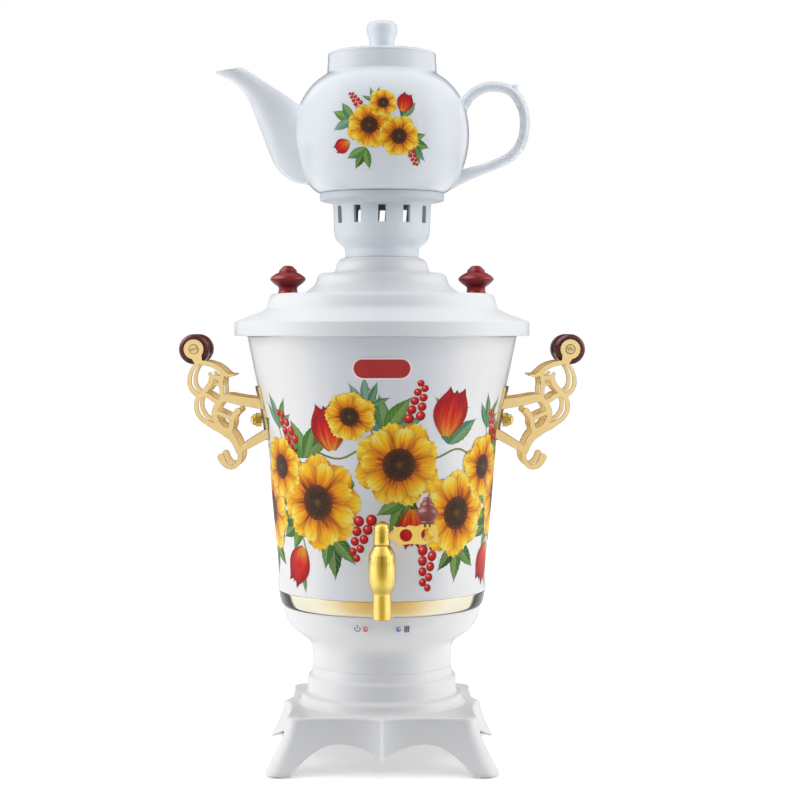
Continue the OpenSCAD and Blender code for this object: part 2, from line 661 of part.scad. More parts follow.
// The scrollwork lies beside the grip: x out from the samovar's axis, y up.
module cheek_outline() translate([grip_x, grip_z]) difference() {
  offset(r = 0.15, $fn = 12) union() {
    circle(r = eye_r - 0.15, $fn = 40);
    // the neck, the large outer curl and the arm that ends in a leaf
    polygon(scroll([[-2, -5], [-3, -8], [-4, -10.4]], 8, 5));
    polygon(scroll([[-3.6, -9.4], [-0.6, -12.6], [1.6, -16.6], [2.9, -21.6], [2.8, -26], [1, -30], [-2, -33],
      [-4.6, -35]], 2, 3.4));
    polygon(scroll([[-3.6, -9.6], [-9, -10.2], [-14, -11.6], [-18.6, -14.2], [-22.2, -17.6]], 3, 3.6));
    polygon(scroll([[-21.4, -17], [-25.4, -19.4], [-29.8, -18.8]], 4, 0.9));
    // the stem with its thorn and the small curl at its top
    polygon(scroll([[-21.4, -16.4], [-20.8, -21], [-20.4, -26], [-20.8, -31], [-20.6, -38]], 3, 2.8));
    polygon(scroll([[-20.6, -21.6], [-17, -20.8], [-13.8, -20.4], [-11.6, -17.4]], 4, 1.8));
    polygon(scroll([[-20.4, -26.6], [-17.4, -25.6], [-15.2, -25.8]], 2.8, 0.9));
    // the S between the small curl and the knot of the two outer curls
    polygon(scroll([[-13.6, -20.6], [-12.4, -25], [-10, -28.6], [-7, -31.8], [-4, -35]], 3.4, 3.8));
    polygon(scroll([[-5, -33.6], [-10.6, -34.2], [-14.6, -37], [-19.6, -39.6]], 3.4, 3));
    polygon(scroll([[-4.2, -34], [-2.5, -38], [-2, -42], [-2.9, -46.6], [-5.4, -50.6], [-9, -53.4], [-14, -56]],
      2.7, 3.2));
    polygon(scroll([[-20.8, -37], [-17.4, -41.4], [-15.7, -45.6], [-15.6, -49.6], [-17, -53.6], [-20, -57.4]],
      4.2, 3.6));
    // the middle curl
    polygon(scroll([[-16.4, -46.4], [-20.6, -47.8], [-24.6, -49.8], [-28.4, -52]], 3.2, 2.6));
    polygon(scroll([[-26.4, -60.4], [-28, -56], [-28, -52.4], [-29.6, -49], [-32.4, -46]], 3.6, 3.8));
    translate([-32.5, -45.8]) circle(r = 2.3, $fn = 32);
    // the tail and its hook
    polygon(scroll([[-9.6, -53.6], [-15, -56.8], [-20, -58.8], [-25, -61.8]], 3.4, 6.6));
    polygon(scroll([[-22.6, -59.8], [-28, -64.6], [-31.4, -70], [-33.6, -76.4]], 6.4, 3.6));
    polygon(scroll([[-33, -72], [-34.4, -77.6], [-33.6, -82.6], [-30.6, -86.2], [-26.8, -87.1]], 3.4, 3.2));
    polygon(scroll([[-28.6, -87.2], [-25, -86.2], [-22, -83.4], [-20.2, -79.6]], 3, 5));
    translate([-20.2, -79.6]) circle(r = 2.5, $fn = 32);
    // the two straps to the wall plate
    polygon(scroll([[-20, -36.6], [-25, -36], [-30, -37], [-37, -38.4], [-45, -39.6], [-55, -41.2]], 5.4, 7.4));
    polygon(scroll([[-32.4, -75.4], [-38, -71.8], [-45, -67.6], [-56, -61.4]], 4.6, 6.6));
  }
  circle(r = rod_r + 0.2, $fn = 32);
}

strap_top = rim_z - 37;
strap_low = rim_z - 76;
strap_half = atan((cheek_span + cheek_t) / 2 / 88);
module wall_plate() intersection() {
  rotate([0, 0, -strap_half]) rotate_extrude(angle = 2 * strap_half, $fn = 128)
    polygon(concat(beside(casing_outer, -0.05), reversed(beside(casing_outer, -2.05))));
  translate([60, -40, strap_low]) cube([60, 80, strap_top - strap_low]);
}

module handle_bracket() color(gold_c) difference() {
  union() {
    difference() {
      for (y = [-1, 1]) translate([0, y * cheek_span / 2 + cheek_t / 2, 0]) rotate([90, 0, 0])
        linear_extrude(cheek_t) cheek_outline();
      casing_solid(1);
    }
    wall_plate();
  }
  at_bolts() cylinder(h = 120, r = bolt_shank_r + 0.1, $fn = 32);
}
module handle_bracket_right() handle_bracket();
module handle_bracket_left() mirror([1, 0, 0]) handle_bracket();

grip_half = cheek_span / 2 - cheek_t / 2 - 0.1;
grip_side = smooth([
  [8.6, 0], [grip_r - 0.6, 1], [grip_r, 3.2], [grip_r - 1.4, 5], [grip_r - 0.6, 7], [grip_r, 9.6],
  [grip_r - 1.2, 12], [grip_r - 0.2, 15], [grip_r, grip_half]
], 3);
module grip() color([0.34, 0.10, 0.12]) translate([grip_x, 0, grip_z]) rotate([90, 0, 0]) difference() {
  turned(concat(
    [[0, -grip_half]], raised(grip_side, -grip_half),
    reversed([for (p = grip_side) [p[0], grip_half - p[1]]]), [[0, grip_half]]
  ), 56);
  cylinder(h = 80, r = rod_r + touch, center = true, $fn = 32);
}
module grip_right() grip();
module grip_left() mirror([1, 0, 0]) grip();

cheek_face = cheek_span / 2 + cheek_t / 2;
rod_r = 2;
module grip_rods() color(gold_c) both_sides() translate([grip_x, 0, grip_z]) difference() {
  union() {
    rod_y(rod_r, -cheek_face - 0.5, cheek_face + 0.5, 32);
    for (s = [0, 180]) rotate([0, 0, s]) rotate([90, 0, 0]) translate([0, 0, cheek_face])
      turned([[0, 0], [3.7, 0], [3.7, 0.8], [3.2, 1.2], [0, 1.2]], 40);
  }
  for (s = [-1, 1]) rotate([0, 20, 0]) translate([0, s * (cheek_face + 1.5), 0]) cube([9, 1.8, 1], center = true);
}

// A bolt's head lies in the gap between the tank and the casing.
bolt_r = casing_foot_r + 9.9;
bolt_head = bolt_r - casing_t - 4.2;
module handle_bolts() color(steel_c) at_bolts() translate([0, 0, bolt_head]) union() {
  cylinder(h = 2, r = 6, $fn = 40);
  cylinder(h = 12, r = bolt_shank_r, $fn = 32);
}
module handle_nuts() color(gold_c) at_bolts() translate([0, 0, bolt_r + 2.6]) difference() {
  union() {
    cylinder(h = 4, r = 5.2, $fn = 6);
    turned([[0, 0], [4.4, 0], [4.4, 4], [3.8, 6.2], [2, 7.8], [0, 8.2]], 40);
  }
  translate([0, 0, -1]) cylinder(h = 6.5, r = bolt_shank_r + touch, $fn = 32);
}

// ---------------------------------------------------------- lid and crown

plateau_z = lid_z + 31.5;
plateau_r = 79.6;
vent_r = 22;
lid_screw_r = 2;
lid_outer = concat(
  [[lid_r - 0.5, lid_z], [lid_r, lid_z + 0.6], [lid_r, lid_z + 9.8], [lid_r - 0.7, lid_z + 10.6]],
  smooth([[lid_r - 2.6, lid_z + 11.6], [lid_r - 12, lid_z + 15], [88.6, lid_z + 19.2], [86.3, lid_z + 21.6],
    [85.4, lid_z + 25], [84.2, lid_z + 28.6], [82.2, lid_z + 31], [plateau_r, plateau_z]], 3),
  smooth([[61, plateau_z], [54.5, plateau_z + 3.4], [50.6, plateau_z + 6.4], [49, plateau_z + 9.6],
    [48.2, plateau_z + 12.6], [46.4, plateau_z + 14.6], [44, plateau_z + 15.4]], 3),
  smooth([[36.4, plateau_z + 15.7], [34.6, plateau_z + 17.6], [34, plateau_z + 21], [33.2, plateau_z + 23.6],
    [31, plateau_z + 26], [28.6, lid_top - 0.4]], 3),
  [[28, lid_top], [vent_r, lid_top]]
);
lid_inner = [
  [vent_r, lid_top - 3], [26, lid_top - 3], [30.4, plateau_z + 21.4], [31.6, plateau_z + 13],
  [43.4, plateau_z + 12.6], [45.4, plateau_z + 8.6], [47.6, plateau_z + 3.6], [53, plateau_z - 0.4],
  [60, plateau_z - lid_wall], [79, plateau_z - lid_wall], [82, lid_z + 26], [83.4, lid_z + 21.6],
  [86.4, lid_z + 17.4], [88.6, lid_z + 16]
];
seat_z = rim_z + 0.8 + rest_gap;
skirt_r = mouth_r - 2.4;
skirt_z = rim_z - 6;
lid_under = [
  [skirt_r - 2.4, lid_z + 14], [skirt_r - 2.4, skirt_z], [skirt_r, skirt_z], [skirt_r, lid_z + 13],
  [95.4, lid_z + 12], [95.4, seat_z], [99.8, seat_z], [99.8, lid_z + 11],
  [lid_r - 2.8, lid_z + 8], [lid_r - 2.5, lid_z]
];
module at_lid_knobs() for (s = [-1, 1]) translate([s * lid_knob_x, 0, plateau_z]) children();

module lid() color(white_c) difference() {
  turned(concat(lid_outer, lid_inner, lid_under), 128);
  at_lid_knobs() translate([0, 0, -lid_wall - 1]) cylinder(h = lid_wall + 2, r = lid_screw_r + 0.1, $fn = 32);
}

lid_knob_side = concat([[0, 0], [7.5, 0], [7.6, 0.8], [7, 1.6], [6.9, 4.4]], smooth([
  [7.6, 5.4], [10.4, 7.6], [12.9, 10], [13.2, 11.2], [12.2, 12.8], [9, 15.2], [6.4, 16.4], [6.6, 17.6],
  [5.2, 18.8], [4.6, 19.6], [3.4, 20.8], [0, 21.3]
], 3));
module lid_knob() color(wood_c) translate([lid_knob_x, 0, plateau_z]) difference() {
  turned(lid_knob_side, 64);
  translate([0, 0, -1]) cylinder(h = 13, r = lid_screw_r + touch, $fn = 32);
}
module lid_knob_right() lid_knob();
module lid_knob_left() mirror([1, 0, 0]) lid_knob();
module lid_knob_screws() color(steel_c) at_lid_knobs() union() {
  translate([0, 0, -lid_wall - 3.4]) cylinder(h = 2.4, r = 3.6, $fn = 32);
  translate([0, 0, -lid_wall - 1]) cylinder(h = 1, r = 5.5, $fn = 32);
  translate([0, 0, -lid_wall - 1]) cylinder(h = 13, r = lid_screw_r, $fn = 32);
}

seat_r = 41.5;
step_z = crown_top - 2.3;   // the pot stands in this shallow step
crown_outer = concat(
  [[26.6, crown_z], [27.4, crown_z + 0.8]],
  smooth([[27.5, crown_z + 5.6], [28.6, crown_z + 7.8], [31, crown_z + 9.8], [33.6, crown_z + 12.2],
    [35.2, crown_z + 15.4], [36, crown_z + 19.4], [36.5, crown_z + 29]], 3),
  smooth([[36.8, crown_z + 36.4], [37.8, crown_z + 39], [40, crown_z + 41], [43.6, crown_z + 41.9]], 3),
  [[crown_r - 0.8, crown_z + 42.1], [crown_r, crown_z + 43], [crown_r, crown_top - 1], [crown_r - 0.9, crown_top]]
);
spigot_r = vent_r - 0.4;
window_z = crown_z + 25;
module crown() color(china_c) difference() {
  turned(concat(
    [[spigot_r, crown_z]], crown_outer,
    [[seat_r, crown_top], [seat_r, step_z], [34.2, step_z], [33.4, crown_z + 29],
      [32.6, crown_z + 17], [30, crown_z + 12.6], [24.4, crown_z + 7], [spigot_r - 2.6, crown_z + 3],
      [spigot_r - 2.6, crown_z - 6], [spigot_r, crown_z - 6]]
  ), 96);
  for (i = [0 : windows - 1]) rotate([0, 0, 270 + i * 360 / windows])
    translate([28, -window_w / 2, window_z]) cube([12, window_w, window_h]);
}

// ----------------------------------------------------------------- teapot

belly = raised(smooth([
  [45.6, 0], [49.8, 1.4], [54.2, 5.2], [58, 11], [61.2, 19.4], [63.6, 28], [pot_r, 37], [pot_r + 0.2, 46],
  [64.2, 55.4], [62, 64.2], [58.6, 71.4], [54.4, 77.6], [49.4, 82.8], [44.6, 86.4]
], 3), pot_z);
collar_r = 40.5;
pot_outer = concat(belly, [
  [42, pot_z + 87.8], [41, pot_z + 88.8], [40.9, pot_z + 90.4], [collar_r, pot_top - 2],
  [collar_r - 0.5, pot_top - 0.4], [collar_r - 1.2, pot_top]
]);
mouth_inner = 36;
pot_cavity = concat(
  [[0, pot_z + 4], [43, pot_z + 4]],
  [for (p = beside(belly, china_t)) if (p[1] > pot_z + 7 && p[1] < pot_z + 84) p],
  [[mouth_inner + 2, pot_z + 86], [mouth_inner, pot_z + 89], [mouth_inner, pot_top + 1], [0, pot_top + 1]]
);

// Each spout section runs between a point on its upper edge and one on its
// lower edge (x, height above the pot's foot), with its half width across.
spout_sections = [
  [[-48, 57], [-46, 6.5], 17], [[-61.6, 65.4], [-66.4, 8.4], 15], [[-69, 70.4], [-80, 20.6], 12.6],
  [[-77, 75.8], [-90.4, 45.6], 10], [[-85, 81], [-97, 63.2], 8], [[-92, 85.6], [-102.4, 74], 6.8],
  [[-98.4, 90], [-111.4, 83], 6.4], [[-103.9, 93.2], [-125, 89.8], 6.6]
];
function spout_ring(s, inset) = let (
  c = (s[0] + s[1]) / 2, h = (s[0] - s[1]) / 2, k = 1 - inset / norm(h)
) [for (a = [0 : 22.5 : 337.5])
    [c[0] + h[0] * k * cos(a), (s[2] - inset) * sin(a), pot_z + c[1] + h[1] * k * cos(a)]];
module spout(inset, stretch = 0) skin([
  for (i = [0 : len(spout_sections) - 1])
    let (s = spout_sections[i], last = i == len(spout_sections) - 1 ? stretch : 0)
      [for (p = spout_ring(s, inset)) p + [0, 0, last]]
]);

handle_path = smooth([
  [56, 0, 60], [62.4, 0, 67.6], [68.6, 0, 74], [77, 0, 78.4], [87.6, 0, 79], [97.4, 0, 75.4], [104, 0, 66.4],
  [107, 0, 54], [104.8, 0, 38.6], [96.6, 0, 27.4], [82.8, 0, 20.4], [66, 0, 14.6], [52, 0, 9]
], 3);
function handle_ring(i) = let (
  p = handle_path[i], n = len(handle_path) - 1,
  d = handle_path[min(i + 1, n)] - handle_path[max(i - 1, 0)], t = d / norm(d), u = [t[2], 0, -t[0]],
  w = 3.5 + 2.6 * pow(max(1 - i / 5, 0), 1.5) + 1.8 * pow(max(1 - (n - i) / 6, 0), 1.5)
) [for (a = [0 : 36 : 324]) p + [0, 0, pot_z] + w * cos(a) * u + [0, 4.6 * sin(a), 0]];
module pot_handle() union() {
  skin([for (i = [0 : len(handle_path) - 1]) handle_ring(i)]);
  translate([98.6, 0, pot_z + 78]) rotate([0, 50, 0]) cylinder(h = 4.6, r1 = 3.2, r2 = 0.8, $fn = 24);
}

module pot_hollow() turned(pot_cavity, 96);
module pot_body() turned(concat([[0, pot_z + 0.4], [36, pot_z + 0.4], [36, step_z + 0.35], [40.6, step_z + 0.35],
  [40.6, pot_z]], pot_outer, [[0, pot_top]]), 96);

module teapot() color(china_c) difference() {
  union() {
    pot_body();
    spout(0);
    pot_handle();
  }
  pot_hollow();
  difference() {
    spout(2.2, 0.6);
    pot_body();
  }
  for (y = [-6, 0, 6], z = [24, 31, 38]) translate([-75, y, pot_z + z]) rotate([0, 90, 0])
    cylinder(h = 30, r = 2.1, $fn = 24);
}

lid_disc_z = pot_top + rest_gap;
lid_knob_top = 26.25;
lid_hollow = 1.2;   // how far the lid is hollow above its rim
module teapot_lid() color(china_c) difference() {
  turned(raised(concat(
    [[0, -9], [34.8, -9], [34.8, 0], [38.6, 0], [39.2, 0.5], [39.2, 1]],
    smooth([[38.4, 1.8], [34, 2.7], [20, 3.6], [11.4, 4.1]], 3),
    smooth([[9.6, 5], [9.2, 6.6], [9.1, 9.5], [9.6, 12.6], [10.9, 17], [11.4, 20.2], [10.8, 23.2],
      [8.6, 25.3], [4.8, 26.1], [0, lid_knob_top]], 3)
  ), lid_disc_z), 80);
  translate([0, 0, lid_disc_z - 10]) cylinder(h = 10 + lid_hollow, r = 32);
}

stand();
rubber_feet();
base_plate();
base_screws();
lower_bowl();
gold_band();
outer_casing();
nameplate();
inner_tank();
tie_rod();
tie_nut();
heating_element();
element_nuts();
thermostat();
thermal_cutout();
lamp_board();
power_lamp();
heating_lamp();
power_inlet();
inlet_pins();
switch_housing();
switch_rocker();
internal_wiring();
tap_body();
tap_washers();
tap_nut();
tap_plug();
tap_cap();
tap_lever();
tap_knob();
handle_bracket_left();
handle_bracket_right();
grip_left();
grip_right();
grip_rods();
handle_bolts();
handle_nuts();
lid();
lid_knob_left();
lid_knob_right();
lid_knob_screws();
crown();
teapot();
teapot_lid();
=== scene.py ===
# %% [markdown]
# # A samovar, dressed for its portrait
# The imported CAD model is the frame: every piece below is made in its place,
# in metres, and rides on one of its bodies. The frame is loaded first.

# %% Load the frame
import json
import math
import random

import bpy
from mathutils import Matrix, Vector

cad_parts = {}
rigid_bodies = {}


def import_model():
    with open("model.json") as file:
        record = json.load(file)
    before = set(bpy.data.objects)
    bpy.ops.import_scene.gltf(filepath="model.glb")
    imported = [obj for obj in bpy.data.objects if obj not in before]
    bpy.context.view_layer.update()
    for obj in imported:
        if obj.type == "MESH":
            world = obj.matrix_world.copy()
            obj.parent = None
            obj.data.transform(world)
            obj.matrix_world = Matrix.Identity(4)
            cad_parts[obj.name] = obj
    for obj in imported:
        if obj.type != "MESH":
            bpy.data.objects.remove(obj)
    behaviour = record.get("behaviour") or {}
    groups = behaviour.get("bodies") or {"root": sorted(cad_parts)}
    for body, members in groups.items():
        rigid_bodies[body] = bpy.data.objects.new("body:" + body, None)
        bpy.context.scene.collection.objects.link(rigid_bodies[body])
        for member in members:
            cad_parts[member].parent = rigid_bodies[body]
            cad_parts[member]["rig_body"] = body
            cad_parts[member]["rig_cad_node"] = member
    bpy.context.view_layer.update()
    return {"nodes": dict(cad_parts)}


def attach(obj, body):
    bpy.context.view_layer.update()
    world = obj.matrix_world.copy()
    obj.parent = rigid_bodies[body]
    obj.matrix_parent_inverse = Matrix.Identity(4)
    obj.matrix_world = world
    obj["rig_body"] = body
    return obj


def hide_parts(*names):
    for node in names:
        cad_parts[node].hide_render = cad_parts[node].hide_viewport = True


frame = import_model()
MM = 0.001
FULL_TURN = 2 * math.pi

# %% [markdown]
# Blender's operators act on whatever is selected, and the imported nodes are
# selected now. Small helpers keep the selection under control, run steps in
# edit mode, apply a modifier and finish a mesh.

# %% Helpers for selection and finishing
def deselect_all():
    if bpy.context.object and bpy.context.object.mode != "OBJECT":
        bpy.ops.object.mode_set(mode="OBJECT")
    bpy.ops.object.select_all(action="DESELECT")


def only(piece):
    deselect_all()
    piece.select_set(True)
    bpy.context.view_layer.objects.active = piece
    return piece


def edit(piece, *steps):
    """Runs the steps in edit mode, each with the whole mesh selected."""
    only(piece)
    bpy.ops.object.mode_set(mode="EDIT")
    for step in steps:
        bpy.ops.mesh.select_all(action="SELECT")
        step()
    bpy.ops.object.mode_set(mode="OBJECT")
    return piece


def merge(distance):
    bpy.ops.mesh.remove_doubles(threshold=distance * MM)


def turn_out():
    bpy.ops.mesh.normals_make_consistent(inside=False)


def apply_place():
    bpy.ops.object.transform_apply(location=True, rotation=True, scale=True)


def modify(piece, kind, **settings):
    """Adds a modifier with these settings and applies it."""
    only(piece)
    bpy.ops.object.modifier_add(type=kind)
    modifier = piece.modifiers[-1]
    for key, value in settings.items():
        setattr(modifier, key, value)
    bpy.ops.object.modifier_apply(modifier=modifier.name)
    return piece


def bevelled(piece, width, segments, angle):
    """Rounds the edges that are sharper than the angle."""
    return modify(piece, "BEVEL", width=width * MM, segments=segments,
                  limit_method="ANGLE", angle_limit=math.radians(angle))


def named(name):
    piece = bpy.context.object
    piece.name = name
    piece.data.name = name
    return piece


def settle(piece, turn=(0, 0, 0), place=(0, 0, 0)):
    """Turns the piece, puts it at a place in millimetres and applies both."""
    only(piece)
    piece.rotation_euler = [math.radians(a) for a in turn]
    piece.location = [v * MM for v in place]
    apply_place()
    return piece


def smooth(piece, angle=35):
    """Smooth shading that leaves the large flat faces flat."""
    only(piece)
    bpy.ops.object.shade_smooth_by_angle(angle=math.radians(angle))
    return modify(piece, "WEIGHTED_NORMAL", weight=60, keep_sharp=True)


def copy_of(piece, name):
    twin = piece.copy()
    twin.data = piece.data.copy()
    twin.name = name
    twin.data.name = name
    bpy.context.scene.collection.objects.link(twin)
    return twin


def joined(pieces, name):
    deselect_all()
    for piece in pieces:
        piece.select_set(True)
    bpy.context.view_layer.objects.active = pieces[0]
    bpy.ops.object.join()
    return named(name)


# %% [markdown]
# Most of a samovar is turned: a half outline is swept once round an axis. A
# plane merged into one point is the start, extrude walks that point along the
# outline, and spin turns the outline. Rounded outlines need many points, so
# a Catmull-Rom curve fills them in between the few that are written down.

# %% Outlines and turning
def curve(points, steps=5):
    """A smooth line through the points, with some steps between each two."""
    line = []
    last = len(points) - 1
    for i in range(last):
        a = Vector(points[max(i - 1, 0)])
        b = Vector(points[i])
        c = Vector(points[i + 1])
        d = Vector(points[min(i + 2, last)])
        for k in range(steps):
            t = k / steps
            line.append(0.5 * (2 * b + (c - a) * t + (2 * a - 5 * b + 4 * c - d) * t * t
                               + (3 * b - a - 3 * c + d) * t ** 3))
    line.append(Vector(points[last]))
    return [tuple(p) for p in line]


def profile(base, *runs):
    """Runs of (radius, height above the base); a run that starts with a number
    is a curve with that many steps between its points."""
    line = []
    for run in runs:
        line += curve(run[1:], run[0]) if isinstance(run[0], int) else run
    return [(r, z + base) for r, z in line]


def ringed(outline):
    """An outline that ends where it starts, for a wall that misses the axis."""
    return outline + [outline[0]]


def turned(name, outline, steps=96, round_edges=0.25, angle=35):
    """Spins an outline of (radius, height) in millimetres round the Z axis."""
    deselect_all()
    bpy.ops.mesh.primitive_plane_add(size=MM)
    piece = named(name)

    def walk():
        bpy.ops.mesh.merge(type="CENTER")
        bpy.ops.mesh.select_all(action="SELECT")
        here = (0, 0)
        for index, point in enumerate(outline):
            move = ((point[0] - here[0]) * MM, 0, (point[1] - here[1]) * MM)
            if index == 0:
                bpy.ops.transform.translate(value=move)
            else:
                bpy.ops.mesh.extrude_region_move(TRANSFORM_OT_translate={"value": move})
            here = point

    def spin():
        bpy.ops.mesh.spin(steps=steps, angle=FULL_TURN, center=(0, 0, 0), axis=(0, 0, 1))

    edit(piece, walk, spin, lambda: merge(0.002), turn_out)
    if round_edges:
        bevelled(piece, round_edges, 2, angle)
    return smooth(piece, angle)


def radius_at(outline, height):
    """The outline's radius at a height, for pieces that lie on its surface."""
    for (r1, z1), (r2, z2) in zip(outline, outline[1:]):
        if min(z1, z2) <= height <= max(z1, z2) and z1 != z2:
            return r1 + (r2 - r1) * (height - z1) / (z2 - z1)
    return outline[0][0] if height < outline[0][1] else outline[-1][0]

# %% [markdown]
# A skin over rings of points makes what isn't round: the stand, the spout and
# the handle of the pot. A flat grid is the start. Its rows become the rings,
# its columns run along them, and its seam is merged once it is rolled up.

# %% Rolling a grid into a skin
def grid(name, columns, rows, place):
    """A flat grid, each point of which goes to place(column, row) in metres."""
    deselect_all()
    bpy.ops.mesh.primitive_grid_add(x_subdivisions=columns, y_subdivisions=rows, size=1)
    piece = named(name)
    for index, vertex in enumerate(piece.data.vertices):
        vertex.co = place(index % (columns + 1), index // (columns + 1))
    return piece


def close_holes():
    bpy.ops.mesh.select_all(action="DESELECT")
    bpy.ops.mesh.select_non_manifold()
    bpy.ops.mesh.fill_holes(sides=0)


def skinned(name, rings, looped=False, angle=35):
    """A skin over rings of points in millimetres, each with the same count."""
    rings = rings + [rings[0]] if looped else rings
    columns = len(rings[0])
    piece = grid(name, columns, len(rings) - 1,
                 lambda column, row: Vector(rings[row][column % columns]) * MM)
    edit(piece, lambda: merge(0.001))
    if not looped:
        edit(piece, close_holes)
    return smooth(edit(piece, turn_out), angle)


# %% [markdown]
# Small machine parts keep the shape of their CAD node. A copy is merged, its
# flat triangles are dissolved into faces, and a bevel takes the hard edges.

# %% A bevelled copy of a CAD node
def softened(node, width, segments=2, angle=30):
    piece = only(copy_of(frame["nodes"][node], node + "_piece"))
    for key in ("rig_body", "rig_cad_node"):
        if key in piece:
            del piece[key]
    piece.parent = None
    edit(piece, lambda: merge(0.001),
         lambda: bpy.ops.mesh.dissolve_limited(angle_limit=math.radians(1)))
    bevelled(piece, width, segments, angle)
    return smooth(piece, angle)


# %% [markdown]
# Boxes serve as a body or as a cutter, and a boolean takes the cutter away.

# %% Boxes and cuts
def block(name, place, size):
    """A box of this size round a place, both in millimetres."""
    deselect_all()
    bpy.ops.mesh.primitive_cube_add(size=1, location=[v * MM for v in place],
                                    scale=[v * MM for v in size])
    piece = named(name)
    apply_place()
    return piece


def carve(piece, cutter):
    modify(piece, "BOOLEAN", operation="DIFFERENCE", solver="EXACT", object=cutter)
    bpy.data.objects.remove(cutter)


# %% [markdown]
# A finished piece is painted and rides on a body of the samovar. It stands
# for the CAD nodes that are named last.

# %% Painting and placing
def paint(piece, material):
    piece.data.materials.clear()
    piece.data.materials.append(material)
    return piece


BROAD_FACE = 60e-6   # square metres
FACES_FRONT = 0.95


def edged(piece, face_finish, edge_finish):
    """One finish on the broad faces, another on the narrow ones round them."""
    paint(piece, face_finish)
    piece.data.materials.append(edge_finish)
    for polygon in piece.data.polygons:
        broad = abs(polygon.normal.y) > FACES_FRONT or polygon.area > BROAD_FACE
        polygon.material_index = 0 if broad else 1
    return piece


def fit(piece, body, slot, *nodes):
    """The piece rides on a body and stands for these nodes; its slot is not used."""
    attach(piece, body)
    if nodes:
        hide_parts(*nodes)
    size = [round(v * 1000, 1) for v in piece.dimensions]
    print(f"{piece.name}: {size} mm, {len(piece.data.polygons)} faces, on {body}")
    return piece


# %% [markdown]
# ## Finishes
# Each finish is a Principled shader. What varies on the real surface, such as
# a faint unevenness of colour, roughness or height, comes from noise in
# Object coordinates, so it stays on the piece when the piece moves.

# %% Nodes of a material
def feed(material, socket, value):
    """Links another node's output to the socket, or sets a plain value there."""
    if isinstance(value, bpy.types.NodeSocket):
        material.node_tree.links.new(value, socket)
    else:
        socket.default_value = value


def add(material, kind, inputs=None, **settings):
    """A node with these settings and with its inputs fed."""
    node = material.node_tree.nodes.new("ShaderNode" + kind)
    for key, value in settings.items():
        setattr(node, key, value)
    for key, value in (inputs or {}).items():
        feed(material, node.inputs[key], value)
    return node


def mathed(material, operation, a, b=0.0):
    return add(material, "Math", {0: a, 1: b}, operation=operation).outputs[0]


def vectored(material, operation, a, b=(0, 0, 0)):
    """The outputs of a sum on vectors: Vector and Value."""
    return add(material, "VectorMath", {0: a, 1: b}, operation=operation).outputs


def object_place(material):
    return add(material, "TexCoord").outputs["Object"]


def parts_of(material, vector):
    return add(material, "SeparateXYZ", {0: vector}).outputs


def noise(material, scale, stretch=(1, 1, 1), detail=3):
    """Noise on the piece, finer with a larger scale (in waves a metre)."""
    mapping = add(material, "Mapping", {"Vector": object_place(material),
                                        "Scale": [scale * s for s in stretch]})
    return add(material, "TexNoise", {"Vector": mapping.outputs["Vector"],
                                      "Scale": 1, "Detail": detail}).outputs["Fac"]


def spread(material, value, low, high, start=0.35, end=0.65):
    """Spreads what lies between start and end over two other values."""
    return add(material, "MapRange", {"Value": value, "From Min": start, "From Max": end,
                                      "To Min": low, "To Max": high}).outputs["Result"]


def ramp(material, value, stops):
    """Colours along a value: (position, (red, green, blue))."""
    node = add(material, "ValToRGB", {"Fac": value})
    band = node.color_ramp
    while len(band.elements) < len(stops):
        band.elements.new(0.5)
    for element, (position, colour) in zip(band.elements, stops):
        element.position = position
        element.color = (*colour, 1)
    return node.outputs["Color"]


def blended(material, factor, a, b):
    """A mix of two colours; the Mix node's colour sockets are 6 and 7."""
    a, b = ((*c, 1) if isinstance(c, tuple) else c for c in (a, b))
    return add(material, "Mix", {0: factor, 6: a, 7: b}, data_type="RGBA").outputs[2]


# %% A base for every finish
def shader_of(material):
    return material.node_tree.nodes["Principled BSDF"]


def dress(material, socket, value):
    feed(material, shader_of(material).inputs[socket], value)


def tint(material, colours, value):
    """The base colour runs through these colours along a value from 0 to 1."""
    stops = [(i / (len(colours) - 1), c) for i, c in enumerate(colours)]
    dress(material, "Base Color", ramp(material, value, stops))


def finish(name, colour, roughness, tints=None, wander=None, relief=None, **sockets):
    """A shader with three kinds of noise. Each tuple ends with the noise's own
    scale, stretch and detail, and starts with the colours, with the lowest and
    highest roughness, or with the bumps' strength and height in millimetres."""
    material = bpy.data.materials.new(name)
    material.use_nodes = True
    dress(material, "Base Color", (*colour, 1))
    dress(material, "Roughness", roughness)
    for socket, value in sockets.items():
        dress(material, socket.replace("_", " "), value)
    material.diffuse_color = (*colour, 1)
    if tints:
        colours, *grain = tints
        tint(material, colours, noise(material, *grain))
    if wander:
        low, high, *grain = wander
        dress(material, "Roughness", spread(material, noise(material, *grain), low, high))
    if relief:
        strength, height, *grain = relief
        bump = add(material, "Bump", {"Strength": strength, "Distance": height * MM,
                                      "Height": noise(material, *grain)})
        dress(material, "Normal", bump.outputs["Normal"])
    print(f"finish {name}: roughness {roughness}")
    return material


# %% Painted light and shade over a finish
def over(material, share, colour):
    """Mixes a colour over the base colour by a share."""
    base = shader_of(material).inputs["Base Color"].links[0].from_socket
    dress(material, "Base Color", blended(material, share, base, colour))


def painted_light_towards(material, direction, colour, start, end, most=1.0):
    """Paints the colour where the surface is turned this way: a painted highlight when it is light, painted
    shade when it is dark.
    """
    normal = add(material, "NewGeometry").outputs["Normal"]
    towards = vectored(material, "DOT_PRODUCT", normal, Vector(direction).normalized())
    over(material, spread(material, towards["Value"], 0, most, start, end), colour)


def painted_facing_light(material, scale, stops):
    """Painted shade and painted reflections: colours from where the piece faces the eye (0) to its rim (1).
    """
    facing = add(material, "LayerWeight").outputs["Facing"]
    wander = spread(material, noise(material, scale), -0.01, 0.01)
    dress(material, "Base Color", ramp(material, mathed(material, "ADD", facing, wander), stops))
